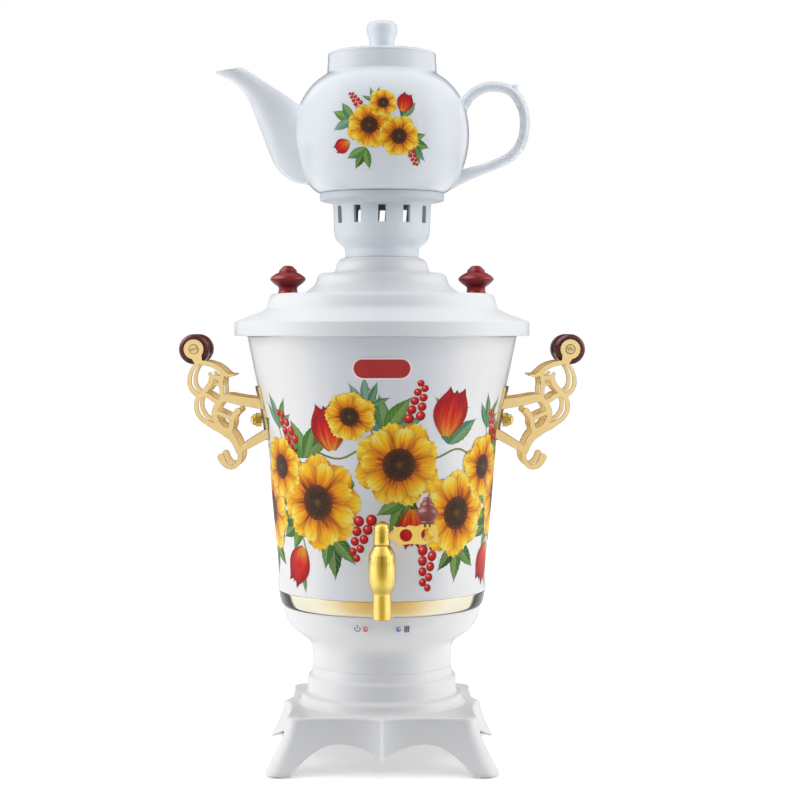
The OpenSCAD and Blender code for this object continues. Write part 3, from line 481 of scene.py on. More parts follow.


# %% [markdown]
# The body is glossy white: moulded plastic below and on top, enamel on the
# casing and a clear glaze on the pot. They differ in warmth and in how sharp
# their reflections are, and each wanders a little over its surface. Shade is
# painted on the enamel and the stand where they face the eye and at the rim;
# the lid has painted shade on its front and back, the crown a painted shadow under the pot.

# %% White finishes
def moulded(name, colour):
    return finish(name, colour, 0.33, wander=(0.30, 0.37, 60), Specular_IOR_Level=0.5)


white_plastic = moulded("white_plastic", (0.83, 0.845, 0.87))
# Painted shade: the plastic is darker where it faces the eye and towards its rim.
painted_facing_light(white_plastic, 14, [
    (0.0, (0.755, 0.77, 0.795)), (0.09, (0.82, 0.835, 0.86)), (0.24, (0.92, 0.925, 0.935)),
    (0.70, (0.93, 0.935, 0.94)), (0.81, (0.86, 0.87, 0.885)), (0.92, (0.68, 0.69, 0.72)),
    (1.0, (0.46, 0.48, 0.52))])

lid_plastic = moulded("lid_plastic", (0.80, 0.84, 0.88))
# Painted light on the lid: darker on its front and back, lighter towards its sides where the side lamps fall.
level = vectored(lid_plastic, "MULTIPLY", object_place(lid_plastic), (1, 1, 0))["Vector"]
outwards = vectored(lid_plastic, "NORMALIZE", level)["Vector"]
side_light_share = parts_of(lid_plastic, vectored(lid_plastic, "ABSOLUTE", outwards)["Vector"])["X"]
tint(lid_plastic, [(0.77, 0.81, 0.855), (0.83, 0.86, 0.895), (0.88, 0.905, 0.925),
                   (0.90, 0.92, 0.935), (0.90, 0.92, 0.935)], side_light_share)

CROWN_LIT = 0.385     # heights in metres between which
CROWN_SHADED = 0.420  # the pot's shade grows
crown_plastic = moulded("crown_plastic", (0.76, 0.82, 0.88))
# Painted shadow of the pot: the crown's colour darkens towards its top, where the pot overhangs it.
crown_height = parts_of(crown_plastic, object_place(crown_plastic))["Z"]
tint(crown_plastic, [(0.77, 0.83, 0.885), (0.73, 0.79, 0.845), (0.64, 0.69, 0.74), (0.58, 0.63, 0.68)],
     spread(crown_plastic, crown_height, 0, 1, CROWN_LIT, CROWN_SHADED))

white_enamel = finish("white_enamel", (0.80, 0.81, 0.84), 0.33, wander=(0.30, 0.36, 30))
# Painted shade: the enamel is darker where it faces the eye and towards its rim.
painted_facing_light(white_enamel, 9, [
    (0.0, (0.725, 0.77, 0.825)), (0.10, (0.78, 0.81, 0.865)), (0.24, (0.90, 0.905, 0.915)),
    (0.78, (0.93, 0.93, 0.93)), (0.88, (0.76, 0.78, 0.81)), (1.0, (0.48, 0.50, 0.54))])

china = finish("china_glaze", (0.78, 0.83, 0.885), 0.16, wander=(0.14, 0.20, 45),
               Coat_Weight=0.3, Coat_Roughness=0.1)
# Painted shade: the glaze is a little darker where it faces the eye and at its rim.
painted_facing_light(china, 18, [(0.0, (0.77, 0.82, 0.878)), (0.5, (0.795, 0.84, 0.892)),
                     (0.80, (0.78, 0.83, 0.885)), (1.0, (0.72, 0.78, 0.84))])

# %% [markdown]
# The metals: the brackets, the lever and the band are plated in a pale gold,
# the tap in a deeper one. Fine polishing lines show as a stretched noise in
# the roughness. The tank inside is brushed steel.

# %% Plated finishes
def plated(name, roughness, scale, stretch, stops):
    """Plating with painted reflections: its colour runs from where it faces the eye (0) to its rim (1)."""
    metal = finish(name, stops[0][1], roughness, Metallic=1.0,
                   wander=(roughness * 0.85, roughness * 1.2, scale * 4, stretch))
    painted_facing_light(metal, scale, stops)
    return metal


# Each plate's colour carries painted reflections of the studio: bright bands and dark ones where the metal
# would mirror the dark.
pale_gold = plated("pale_gold_plate", 0.2, 40, (1, 1, 1), [
    (0.0, (1.0, 0.735, 0.335)), (0.10, (0.98, 0.72, 0.32)), (0.17, (0.45, 0.28, 0.08)),
    (0.26, (0.05, 0.03, 0.012)), (0.38, (0.30, 0.20, 0.06)), (0.55, (0.88, 0.66, 0.30)),
    (1.0, (0.80, 0.62, 0.30))])
band_gold = plated("band_gold_plate", 0.16, 25, (1, 1, 0.2), [
    (0.0, (0.49, 0.275, 0.05)), (0.03, (0.56, 0.33, 0.08)), (0.09, (0.68, 0.48, 0.19)),
    (0.18, (0.78, 0.68, 0.45)), (0.30, (0.82, 0.79, 0.64)), (0.54, (0.80, 0.76, 0.60)),
    (0.57, (0.28, 0.26, 0.20)), (0.59, (0.004, 0.004, 0.004)), (1.0, (0.006, 0.006, 0.005))])
bright_gold = plated("bright_gold_plate", 0.14, 60, (1, 1, 0.3), [
    (0.0, (0.38, 0.24, 0.024)), (0.02, (0.56, 0.37, 0.05)), (0.09, (0.84, 0.60, 0.13)),
    (0.25, (0.92, 0.70, 0.24)), (0.45, (0.78, 0.57, 0.16)), (0.75, (0.66, 0.47, 0.13)),
    (1.0, (0.42, 0.29, 0.07))])
# A painted dark reflection where the tap faces down.
painted_light_towards(bright_gold, (0, -0.45, -0.9), (0.40, 0.27, 0.03), 0.55, 0.85, 0.8)

# %% Brass and steel
lever_gold = finish("lever_gold_plate", (0.90, 0.63, 0.15), 0.3, Metallic=1.0,
                    tints=([(0.86, 0.58, 0.12), (0.93, 0.68, 0.19)], 60), wander=(0.30, 0.37, 260))
worn_brass = finish("worn_brass_screw", (0.34, 0.22, 0.06), 0.3, Metallic=1.0,
                    tints=([(0.02, 0.013, 0.005), (0.95, 0.76, 0.36), (0.04, 0.025, 0.008)],
                           430, (1, 1, 1), 1), wander=(0.30, 0.42, 400))
# A dark brass for the narrow edge faces: painted dark reflections along the edges.
painted_dark_edge_brass = finish("brass_painted_dark_edge", (0.15, 0.085, 0.022), 0.35, Metallic=1.0,
                    tints=([(0.11, 0.06, 0.016), (0.20, 0.12, 0.035)], 120))
plain_brass = finish("plain_brass", (0.72, 0.52, 0.22), 0.32, Metallic=1.0,
                     tints=([(0.66, 0.46, 0.18), (0.78, 0.58, 0.27)], 90), wander=(0.30, 0.42, 350))
steel = finish("brushed_steel", (0.62, 0.62, 0.63), 0.28, Metallic=1.0,
               tints=([(0.56, 0.56, 0.575), (0.68, 0.68, 0.685)], 30, (1, 1, 12)),
               wander=(0.29, 0.40, 120, (1, 1, 14)), relief=(0.10, 0.04, 260, (0.4, 0.4, 9), 2))
element_steel = finish("element_steel", (0.36, 0.34, 0.33), 0.42, Metallic=1.0,
                       tints=([(0.30, 0.27, 0.27), (0.42, 0.37, 0.30), (0.34, 0.34, 0.40)], 35),
                       wander=(0.34, 0.52, 200))

# %% Painted dark reflections along edges
LEAN_ON_EDGES = 0.86
LEAN_ON_FACES = 0.985


def painted_edge_shade(material, radius, colour):
    """Painted dark reflections along edges: the base colour turns to this one
    where a rounded normal leans from the face's own, which is on edges."""
    rounded = add(material, "Bevel", {"Radius": radius * MM}, samples=6).outputs["Normal"]
    flat = add(material, "NewGeometry").outputs["True Normal"]
    lean = vectored(material, "DOT_PRODUCT", rounded, flat)["Value"]
    over(material, spread(material, lean, 1, 0, LEAN_ON_EDGES, LEAN_ON_FACES), colour)


# Painted dark reflections along the edges of the brackets and the screws.
painted_edge_shade(pale_gold, 0.6, (0.05, 0.028, 0.008))
painted_edge_shade(worn_brass, 0.4, (0.03, 0.018, 0.006))

# %% [markdown]
# The knobs and the grips are turned wood under lacquer. Wood grain runs along
# the turning axis, so the noise is stretched that way, and the lacquer is a
# clear coat on top of it.

# %% Lacquered wood
def lacquered(name, dark, light, roughness, coat, stretch):
    wood = finish(name, dark, roughness, tints=([dark, light, dark], 160, stretch, 4),
                  relief=(0.08, 0.04, 420, stretch, 3), Coat_Weight=coat, Coat_Roughness=0.09,
                  Coat_IOR=1.5, Specular_IOR_Level=0.1)
    # Painted shade where the wood faces down, and two painted highlights towards the lamps.
    painted_light_towards(wood, (0, 0.3, -1), tuple(v * 0.35 for v in dark), 0.05, 0.8, 0.9)
    painted_light_towards(wood, (-0.45, -0.72, 0.52), tuple(v * 1.3 + 0.22 for v in light), 0.90, 0.99, 0.9)
    painted_light_towards(wood, (0.60, -0.72, 0.34), tuple(v * 1.3 + 0.12 for v in light), 0.93, 0.99, 0.8)
    return wood


UPRIGHT = (1, 1, 0.25)
LENGTHWISE = (1, 0.2, 1)
red_wood = lacquered("red_lacquered_wood", (0.15, 0.002, 0.005), (0.31, 0.008, 0.012), 0.3, 0.35, UPRIGHT)
dusty_wood = lacquered("dusty_red_wood", (0.20, 0.036, 0.032), (0.30, 0.075, 0.065), 0.4, 0.4, UPRIGHT)
dark_wood = lacquered("dark_red_wood", (0.060, 0.008, 0.008), (0.13, 0.020, 0.020), 0.3, 0.4, LENGTHWISE)

# %% [markdown]
# The small parts: black mouldings with a fine spark-eroded texture, rubber,
# silicone, the circuit board, ceramic, wire sleeves and the two lamp lenses.

# %% Plastics, rubber and enamel
EVEN = (1, 1, 1)
black_plastic = finish("black_moulding", (0.018, 0.018, 0.02), 0.45, wander=(0.38, 0.55, 900),
                       relief=(0.25, 0.03, 2200, EVEN, 2))
rubber = finish("black_rubber", (0.02, 0.02, 0.02), 0.75, relief=(0.3, 0.05, 1500),
                tints=([(0.015, 0.015, 0.015), (0.035, 0.034, 0.033)], 300))
silicone = finish("milky_silicone", (0.75, 0.75, 0.72), 0.5, wander=(0.42, 0.58, 300),
                  Subsurface_Weight=0.2)
ceramic = finish("bare_ceramic", (0.68, 0.64, 0.57), 0.6, relief=(0.3, 0.04, 1200))
board_green = finish("board_green", (0.02, 0.13, 0.05), 0.35,
                     tints=([(0.015, 0.10, 0.04), (0.03, 0.18, 0.07)], 500, EVEN, 1))
wire_red = finish("wire_sleeve", (0.45, 0.02, 0.015), 0.45, wander=(0.38, 0.52, 400))
rocker_red = finish("rocker_red", (0.50, 0.012, 0.012), 0.2, wander=(0.16, 0.26, 200), Coat_Weight=0.3)
badge_red = finish("badge_red", (0.46, 0.022, 0.022), 0.3, Specular_IOR_Level=0.3,
                   tints=([(0.42, 0.016, 0.018), (0.52, 0.028, 0.026)], 70))
badge_rim = finish("badge_rim", (0.96, 0.88, 0.86), 0.3, wander=(0.30, 0.38, 200))
icon_ink = finish("icon_ink", (0.035, 0.04, 0.045), 0.4, wander=(0.35, 0.48, 400))

# %% Lenses
def lens(name, dark, light):
    """A clear lens with painted light: brighter in its middle, with a painted highlight towards the lamp."""
    glass = finish(name, dark, 0.1, Coat_Weight=1.0, Coat_Roughness=0.05, Coat_IOR=1.8)
    facing = add(glass, "LayerWeight").outputs["Facing"]
    dress(glass, "Base Color", ramp(glass, facing, [(0, light), (0.35, dark), (1, light)]))
    painted_light_towards(glass, (0.40, -0.80, 0.45), (0.95, 0.93, 0.95), 0.93, 0.97)
    return glass


red_lens = lens("red_lens", (0.52, 0.03, 0.04), (0.85, 0.12, 0.13))
blue_lens = lens("blue_lens", (0.01, 0.07, 0.38), (0.03, 0.22, 0.72))

# %% [markdown]
# ## The stand
# A moulded platform on four swept legs. Its plan has a point in the middle of
# each side and rounded corners, and each side's apron is cut in two arches.
# One eighth of the plan is written as a formula and turned round, and the
# rings of the skin run from the flat top over a rounded shoulder, down the
# swept skirt and back up inside.

# %% The stand's plan
PLATFORM_TOP = 40
PLATFORM_HALF = 68.6
WAIST_HALF = PLATFORM_HALF - 1.8
WAIST_END = 35
POINT_REACH = 5
CREASE = 0.35
CORNER_RADIUS = 9
CORNER_CENTRE = PLATFORM_HALF - CORNER_RADIUS
FOOT_START = 53.5
ARCH_PEAK = 29
ARCH_HEIGHT = 22
TIP_HEIGHT = 13
FOOT_HEIGHT = 1


def side_reach(y):
    """Half the plan's width at y, with a fine raised line in its middle."""
    reach = WAIST_HALF + (CREASE if y < 0.25 else 0)
    if y < WAIST_END:
        return reach + (PLATFORM_HALF + POINT_REACH - WAIST_HALF) * (1 - y / WAIST_END) ** 2.7
    return reach + (PLATFORM_HALF - WAIST_HALF) * ((y - WAIST_END) / (CORNER_CENTRE - WAIST_END)) ** 2


def arch_height(y):
    if y < ARCH_PEAK:
        return ARCH_HEIGHT - (ARCH_HEIGHT - TIP_HEIGHT) * (1 - y / ARCH_PEAK) ** 2
    if y < FOOT_START:
        share = (y - ARCH_PEAK) / (FOOT_START - ARCH_PEAK)
        return max(FOOT_HEIGHT, ARCH_HEIGHT * math.sqrt(1 - share ** 2))
    return FOOT_HEIGHT


def stand_plan(steps=26):
    eighth = []
    for k in range(steps + 1):
        y = FOOT_START * (1 - math.cos(math.pi * k / steps)) / 2
        eighth.append((side_reach(y), y, arch_height(y)))
    for degrees in range(0, 46, 5):
        a = math.radians(degrees)
        eighth.append((CORNER_CENTRE + CORNER_RADIUS * math.cos(a),
                       CORNER_CENTRE + CORNER_RADIUS * math.sin(a), FOOT_HEIGHT))
    quarter = eighth + [(y, x, z) for x, y, z in reversed(eighth[1:-1])]
    plan = []
    for c, s in ((1, 0), (0, 1), (-1, 0), (0, -1)):
        plan += [(x * c - y * s, x * s + y * c, z) for x, y, z in quarter]
    return plan


plan = stand_plan()
print("points round the stand:", len(plan))

# %% The platform and its legs
LEG_SWEEP = 13
SWEEP_DEPTH = 34
SHOULDER = 1.8
EDGE_STEP = 0.5
HEEL = 4.5
HEEL_TUCK = 2.4
STAND_WALL = 3
NECK_FOOT = 62


def leg_sweep(z):
    return LEG_SWEEP * (max(PLATFORM_TOP - z, 0) / SWEEP_DEPTH) ** 1.6 / PLATFORM_HALF


def stand_ring(inset, z):
    k = 1 - inset / PLATFORM_HALF
    return [(x * k, y * k, z) for x, y, low in plan]


def round_ring(radius, z):
    return [(x * radius / math.hypot(x, y), y * radius / math.hypot(x, y), z) for x, y, low in plan]


def skirt_ring(share, inset, top):
    """A ring of the skirt, drawn in where the foot turns under at its heel."""
    ring = []
    for x, y, low in plan:
        z = top - share * (top - low)
        under = min(max(HEEL - z, 0) / (HEEL - FOOT_HEIGHT), 1)
        heel = HEEL_TUCK * (1 - math.sqrt(1 - under ** 2)) if inset < STAND_WALL else 0
        k = 1 + leg_sweep(z) - (inset + heel) / PLATFORM_HALF
        ring.append((x * k, y * k, z))
    return ring


skirt_top = PLATFORM_TOP - SHOULDER
rings = [round_ring(NECK_FOOT, PLATFORM_TOP), stand_ring(6, PLATFORM_TOP)]
for step in range(6):
    a = math.pi / 2 * step / 5
    rings.append(stand_ring(SHOULDER * (1 - math.sin(a)), skirt_top + SHOULDER * math.cos(a)))
rings.append(stand_ring(EDGE_STEP, skirt_top - 0.3))
shares = [k / 12 for k in range(1, 11)] + [0.88, 0.91, 0.94, 0.965, 0.985, 1]
rings += [skirt_ring(share, EDGE_STEP * (1 - share), skirt_top) for share in shares]
rings += [skirt_ring(1 - k / 6, STAND_WALL, PLATFORM_TOP - STAND_WALL) for k in range(7)]
rings.append(round_ring(NECK_FOOT, PLATFORM_TOP - STAND_WALL))
stand = skinned("stand", rings, looped=True, angle=28)
smooth(bevelled(stand, width=0.7, segments=3, angle=50), 40)
print("rings of the stand:", len(rings), "with", len(stand.data.polygons), "faces")

# %% The stepped neck of the stand
NECK_RADIUS = 51.75
NECK_WALL = 3.8
NECK_LOW = PLATFORM_TOP - STAND_WALL
STAND_TOP = 68
SHELF_Z = 60
SHELF_RADIUS = NECK_RADIUS - 3.4
neck_side = profile(
    0, [3, (64.4, 39.4), (62.6, 40.3), (61.4, 41.6), (60.4, 43.4), (60, 45.2), (58.9, 46.9), (57, 48),
        (55.9, 49.2), (55.5, 50.6)],
    [3, (55.5, 57.6), (55.2, 59.2), (54.4, 60.6), (53.4, 61.7), (52.8, 63), (52.4, 65.4),
     (NECK_RADIUS, STAND_TOP)])
neck_inside = [(NECK_RADIUS - NECK_WALL, STAND_TOP), (NECK_RADIUS - NECK_WALL, NECK_LOW)]
neck_low = [(60, NECK_LOW), (64.4, NECK_LOW)]
stand_neck = turned("stand_neck", ringed(neck_side + neck_inside + neck_low), steps=128, round_edges=0.35)
shelf_side = profile(SHELF_Z, [(20, 0), (SHELF_RADIUS, 0), (SHELF_RADIUS, 3), (20, 3)])
shelf = turned("stand_shelf", ringed(shelf_side), steps=64)
stand = joined([stand, stand_neck, shelf], "stand_piece")
fit(paint(stand, white_plastic), "samovar", "white_plastic", "stand")

# %% [markdown]
# Each foot has a thin rubber pad under it. One pad is turned, with its lower
# rim a little raised, and it stands once on each corner.

# %% Rubber pads
FOOT_CENTRE = 72.5
pad_side = [(0, 0.15), (5.4, 0.15), (5.8, 0), (6.8, 0), (7, 0.2), (7, 1.05), (0, 1.05)]
pads = []
for sx in (-1, 1):
    for sy in (-1, 1):
        pad = turned(f"pad_{len(pads)}", pad_side, steps=40, round_edges=0)
        pads.append(settle(pad, place=(sx * FOOT_CENTRE, sy * FOOT_CENTRE, 0)))
fit(paint(joined(pads, "rubber_pads"), rubber), "samovar", "rubber", "rubber_feet")

# %% [markdown]
# ## The bowl
# The pedestal bowl carries the tank. It is a turned shell; at the back a flat
# box stands out of it, with recesses for the power inlet and the switch.

# %% The bowl and its rear box
BOWL_Z = 68
BAND_Z = 112.5
CASING_Z = 124.5
BOWL_WALL = 2.5
BOWL_FLOOR = 3
LIP_RADIUS = 72
REAR_Z = 97.75
bowl_side = profile(BOWL_Z, [
    4, (51.75, 0), (51.75, 4), (51.9, 8), (52.75, 13.5), (55.55, 19), (61.75, 23.5), (67.55, 28),
    (70.75, 33), (72.75, 38), (73.6, 44.5)])
bowl_inside = [(r - BOWL_WALL, z) for r, z in reversed(bowl_side) if z > BOWL_Z + BOWL_FLOOR]
LIP_TOP = CASING_Z - 0.1
bowl_lip = [(LIP_RADIUS, BAND_Z), (LIP_RADIUS, LIP_TOP), (LIP_RADIUS - BOWL_WALL, LIP_TOP)]
bowl_outline = [(0, BOWL_Z)] + bowl_side + bowl_lip + bowl_inside + [(0, BOWL_Z + BOWL_FLOOR)]
bowl = turned("bowl", bowl_outline, steps=128, round_edges=0.3)
rear_box = block("rear_box", (0, 47.25, REAR_Z), (60, 54.5, 25.5))
modify(rear_box, "BEVEL", width=2 * MM, segments=4)
for x, width, height in ((-11, 25, 18), (17, 13, 18.8)):
    carve(rear_box, block("recess", (x, 65, REAR_Z), (width, 30, height)))
bowl = joined([bowl, smooth(rear_box, 40)], "bowl_piece")
fit(paint(bowl, white_plastic), "samovar", "white_plastic", "lower_bowl")

# %% [markdown]
# ## Band and casing
# A polished gold band fills the step between the bowl and the casing. The
# casing is thin enamelled sheet with a slow flare towards its mouth.

# %% The gold band
band_side = profile(BAND_Z, [4, (73.7, 0.02), (75.2, 1.5), (76.3, 5), (77.1, 8.9), (77.5, 11.4)],
                    [(77.2, 11.92), (72.1, 11.92), (72.1, 0.02)])
band = turned("gold_band_piece", ringed(band_side), steps=160, round_edges=0.2)
fit(paint(band, band_gold), "samovar", "gold_plate", "gold_band")

# %% The casing
SHEET = 1.2
flare = profile(CASING_Z, [6, (78, 0), (78, 23), (81.6, 65), (84, 95), (87.2, 124), (93.6, 154),
                           (100.5, 187.5)])
casing_inside = [(r - SHEET, z) for r, z in reversed(flare)] + [(69, CASING_Z + SHEET), (69, CASING_Z)]
casing = turned("casing_piece", ringed(flare + casing_inside), steps=160, round_edges=0.3)
fit(paint(casing, white_enamel), "samovar", "white_enamel", "outer_casing")

# %% [markdown]
# ## The lid
# The lid steps up from its broad rim to a plateau for the knobs, and from
# there over two rings to the steam hole that the crown stands in.

# %% The lid
LID_Z = 312.75
PLATEAU_Z = LID_Z + 31.5
lid_side = profile(
    LID_Z, [(109.65, 0), (110.25, 0.6), (110.25, 9.4)],
    [5, (109.75, 10.5), (107.65, 11.6), (98.25, 15), (88.6, 19.2), (86.3, 21.6), (85.4, 25), (84.2, 28.6),
     (82.2, 31), (79.6, 31.5)],
    [4, (62, 31.5), (56.5, 33.3), (53, 35.9), (50.4, 38.3), (49, 41.3), (48.2, 44.1), (46.4, 46.1),
     (43.6, 47)],
    [4, (37, 47.2), (35.2, 48.7), (34.2, 52.1), (33.2, 55.1), (31, 57.3), (28.8, 58.2)],
    [(28, 58.5), (22, 58.5), (22, 55.5)])
lid_inside = profile(
    LID_Z, [(26, 55.5), (30.4, 52.9), (31.6, 44.5), (43.4, 44.1), (45.4, 40.1), (47.6, 35.1), (53, 31.1),
            (60, 29), (79, 29), (82, 26), (83.4, 21.6), (86.4, 17.4), (88.6, 16)],
    [(87.7, 14), (87.7, -6.75), (90.1, -6.75), (90.1, 13), (95.4, 12), (95.4, 0.35), (99.8, 0.35),
     (99.8, 11), (107.45, 8), (107.75, 0)])
lid = turned("lid_piece", ringed(lid_side + lid_inside), steps=160, round_edges=0.35, angle=32)
fit(paint(lid, lid_plastic), "lid", "white_plastic", "lid")

# %% [markdown]
# Two turned knobs lift the lid. One is turned and both are copies of it.

# %% Lid knobs
LID_KNOB_X = 70.5
knob_side = profile(
    0, [(0, 0), (7.5, 0), (7.6, 0.8), (7.1, 1.6), (6.9, 3)],
    [4, (6.9, 4.2), (7.4, 5.3), (10.2, 7.4), (12.7, 9.8), (13.2, 11.2), (12.4, 12.7), (9.2, 15.0),
     (6.9, 16.1)],
    [3, (6.5, 16.7), (6.7, 17.3), (6.2, 18.2), (5.2, 18.9)],
    [3, (4.7, 19.3), (4.5, 19.9), (3.2, 20.8), (1.6, 21.2), (0, 21.3)])
lid_knob = turned("lid_knob", knob_side, steps=72, round_edges=0.15)
for side, name in ((-1, "left"), (1, "right")):
    knob = settle(copy_of(lid_knob, f"lid_knob_{name}_piece"), place=(side * LID_KNOB_X, 0, PLATEAU_Z))
    fit(paint(knob, red_wood), "lid", "red_wood", f"lid_knob_{name}")
bpy.data.objects.remove(lid_knob)

# %% [markdown]
# ## The crown
# The crown holds the pot over the steam. Its wall has twelve windows. They
# are cut by a boolean with one cutter that is copied round the axis, and the
# bevel comes after the cut, so that the window edges are soft too.

# %% The crown
CROWN_Z = 371.55
WINDOW_Z = CROWN_Z + 31.3
WINDOW_SIZE = (14, 5.5, 12.6)
WINDOWS = 12
crown_side = profile(
    CROWN_Z, [(26.9, -0.28), (27.4, 0.3)],
    [4, (27.5, 5), (27.8, 6.6), (28.9, 8.1), (31, 9.8), (33.6, 12.2), (35.2, 15.4), (35.9, 19.4)],
    [4, (36.7, 39.0), (37.4, 40.2), (39.6, 41.4), (43.6, 41.9)],
    [(45.7, 42.1), (46.5, 43), (46.5, 47), (45.6, 48)],
    [(41.5, 48), (41.5, 45.7), (34.2, 45.7), (33.4, 38.8), (32.7, 19), (30, 12.6), (24.4, 7), (19, 3),
     (19, -6), (21.6, -6), (21.6, -0.28)])
crown = turned("crown_piece", ringed(crown_side), steps=144, round_edges=0)
windows = [settle(block(f"window_{i}", (34, 0, WINDOW_Z), WINDOW_SIZE),
                  turn=(0, 0, 270 + i * 360 / WINDOWS)) for i in range(WINDOWS)]
carve(crown, joined(windows, "window_cutter"))
bevelled(crown, width=0.35, segments=2, angle=40)
fit(paint(smooth(crown), crown_plastic), "crown", "white_plastic", "crown")

# %% [markdown]
# ## The teapot
# The belly and the collar are turned, with the wall's inside. The spout and
# the handle are skins over rings; their roots reach a little into the belly.

# %% The pot's belly
POT_Z = 420.3
POT_TOP = POT_Z + 102
POT_WALL = 3.5
belly = profile(POT_Z, [
    4, (45.9, -0.73), (49.9, 1.2), (54.2, 5.2), (58, 11), (61.2, 19.4), (63.6, 28), (65, 37), (65.2, 46),
    (64.2, 55.4), (62, 64.2), (58.6, 71.4), (54.4, 77.6), (49.4, 82.8), (44.6, 86.4)])
collar = profile(POT_Z, [3, (42.4, 87.8), (41.3, 88.9), (40.9, 90.6), (40.5, 99), (40.4, 101.4)],
                 [(40.3, 101.85), (40.1, 102), (38.6, 102), (36.4, 102), (36, 101.4), (36, 89), (38, 86)])
pot_inside = ([(r - POT_WALL, z) for r, z in reversed(belly) if POT_Z + 7 < z < POT_Z + 83]
              + [(43, POT_Z + 4), (0, POT_Z + 4)])
pot_foot = profile(POT_Z, [(0, 0.4), (36, 0.4), (36, -2.7), (40.6, -2.7), (40.6, -0.73)])
pot_body = turned("pot_body", pot_foot + belly + collar + pot_inside, steps=144, round_edges=0.3, angle=32)
print("pot_body:", len(pot_body.data.polygons), "faces, widest radius", max(r for r, z in belly), "mm")

# %% [markdown]
# The spout's sections run between its upper and its lower edge. A curve
# through the sections fills in the ones between, the outer skin turns in at
# the mouth, and the inner skin goes a short way down, so the mouth is open.

# %% The spout
SPOUT_WALL = 2.0
spout_plan = curve([
    (-44, 55.2, -42, 5, 18.6), (-50.5, 58.6, -49.5, 5.4, 17.6), (-61.6, 65.4, -66.4, 8.4, 15),
    (-69, 70.4, -80, 20.6, 12.6), (-77, 75.8, -90.4, 45.6, 10), (-85, 81, -97, 63.2, 8),
    (-92, 85.6, -102.4, 74, 6.8), (-98.4, 90, -111.4, 83, 6.2), (-101.4, 91.8, -118.6, 87, 6.1),
    (-103.9, 93.2, -125, 89.8, 6.2)], 5)


def spout_ring(section, inset, rise=0.0, columns=40):
    x1, z1, x2, z2, half = section
    middle = Vector(((x1 + x2) / 2, 0, POT_Z + (z1 + z2) / 2))
    up = Vector(((x1 - x2) / 2, 0, (z1 - z2) / 2))
    k = 1 - inset / up.length
    ring = []
    for i in range(columns):
        a = FULL_TURN * i / columns
        x, y, z = middle + up * (k * math.cos(a)) + Vector((0, (half - inset) * math.sin(a), 0))
        ring.append((x, y, z + rise))
    return ring


outer = [spout_ring(s, 0) for s in spout_plan]
lip = [spout_ring(spout_plan[-1], inset, rise) for inset, rise in ((0.35, 0.35), (0.95, 0.5), (1.6, 0.3))]
inner = [spout_ring(s, SPOUT_WALL) for s in reversed(spout_plan[-16:])]
spout = skinned("spout", outer + lip + inner, angle=60)
print("spout:", len(spout_plan), "sections outside and", len(inner), "inside")

# %% The handle
HANDLE_DEPTH = 3.5
HANDLE_HALF_WIDTH = 4.7
RIDGE = 0.45
handle_path = curve([
    (55, 0, 57.6), (62.4, 0, 67.6), (68.6, 0, 74), (77, 0, 78.4), (87.6, 0, 79), (97.4, 0, 75.4),
    (104, 0, 66.4), (107, 0, 54), (104.8, 0, 38.6), (96.6, 0, 27.4), (82.8, 0, 20.4), (66, 0, 14.6),
    (51, 0, 8.6)], 5)


def handle_ring(i, columns=28):
    """An egg-shaped section with a soft ridge along its outer side."""
    last = len(handle_path) - 1
    here = Vector(handle_path[i]) + Vector((0, 0, POT_Z))
    along = (Vector(handle_path[min(i + 1, last)]) - Vector(handle_path[max(i - 1, 0)])).normalized()
    out = Vector((-along.z, 0, along.x))
    depth = HANDLE_DEPTH + 3.4 * max(1 - i / 8, 0) ** 1.6 + 2.4 * max(1 - (last - i) / 9, 0) ** 1.5
    ring = []
    for k in range(columns):
        a = FULL_TURN * k / columns
        ridge = RIDGE * math.exp(-(math.sin(a / 2) / 0.16) ** 2)
        ring.append(tuple(here + out * ((depth + ridge) * math.cos(a))
                          + Vector((0, HANDLE_HALF_WIDTH * math.sin(a), 0))))
    return ring


handle = skinned("pot_handle", [handle_ring(i) for i in range(len(handle_path))], angle=60)
thumb_side = curve([(3.4, -1), (2.9, 0.8), (2, 2.6), (1.2, 3.9), (0.6, 4.5), (0, 4.7)], 4)
thumb_rest = turned("thumb_rest", thumb_side, steps=32, round_edges=0)
settle(thumb_rest, turn=(0, 50, 0), place=(98.6, 0, POT_Z + 78))
pot = joined([pot_body, spout, handle, thumb_rest], "teapot_piece")
fit(paint(pot, china), "teapot", "china", "teapot")

# %% The pot's lid
pot_lid_side = profile(
    POT_TOP + 0.3, [(0, 1.2), (32, 1.2), (32, -9), (35.8, -9), (35.8, -0.28), (40.1, -0.28), (40.3, -0.1)],
    [4, (40.2, 0.8), (39, 1.8), (34, 2.7), (20, 3.6), (12, 4.1)],
    [4, (10, 4.8), (9.2, 6.2), (9.1, 9.5), (9.6, 12.6), (10.9, 17), (11.4, 20.2), (10.8, 23.2),
     (8.6, 25.3), (4.8, 26.1), (0, 26.25)])
pot_lid = turned("pot_lid_piece", pot_lid_side, steps=112, round_edges=0.3)
fit(paint(pot_lid, china), "teapot_lid", "china", "teapot_lid")

# %% [markdown]
# ## The tap
# The body is a turned barrel with a round shank to the tank. The plug turns in
# it under a cap, and the cap carries a flat lever with a wooden knob.

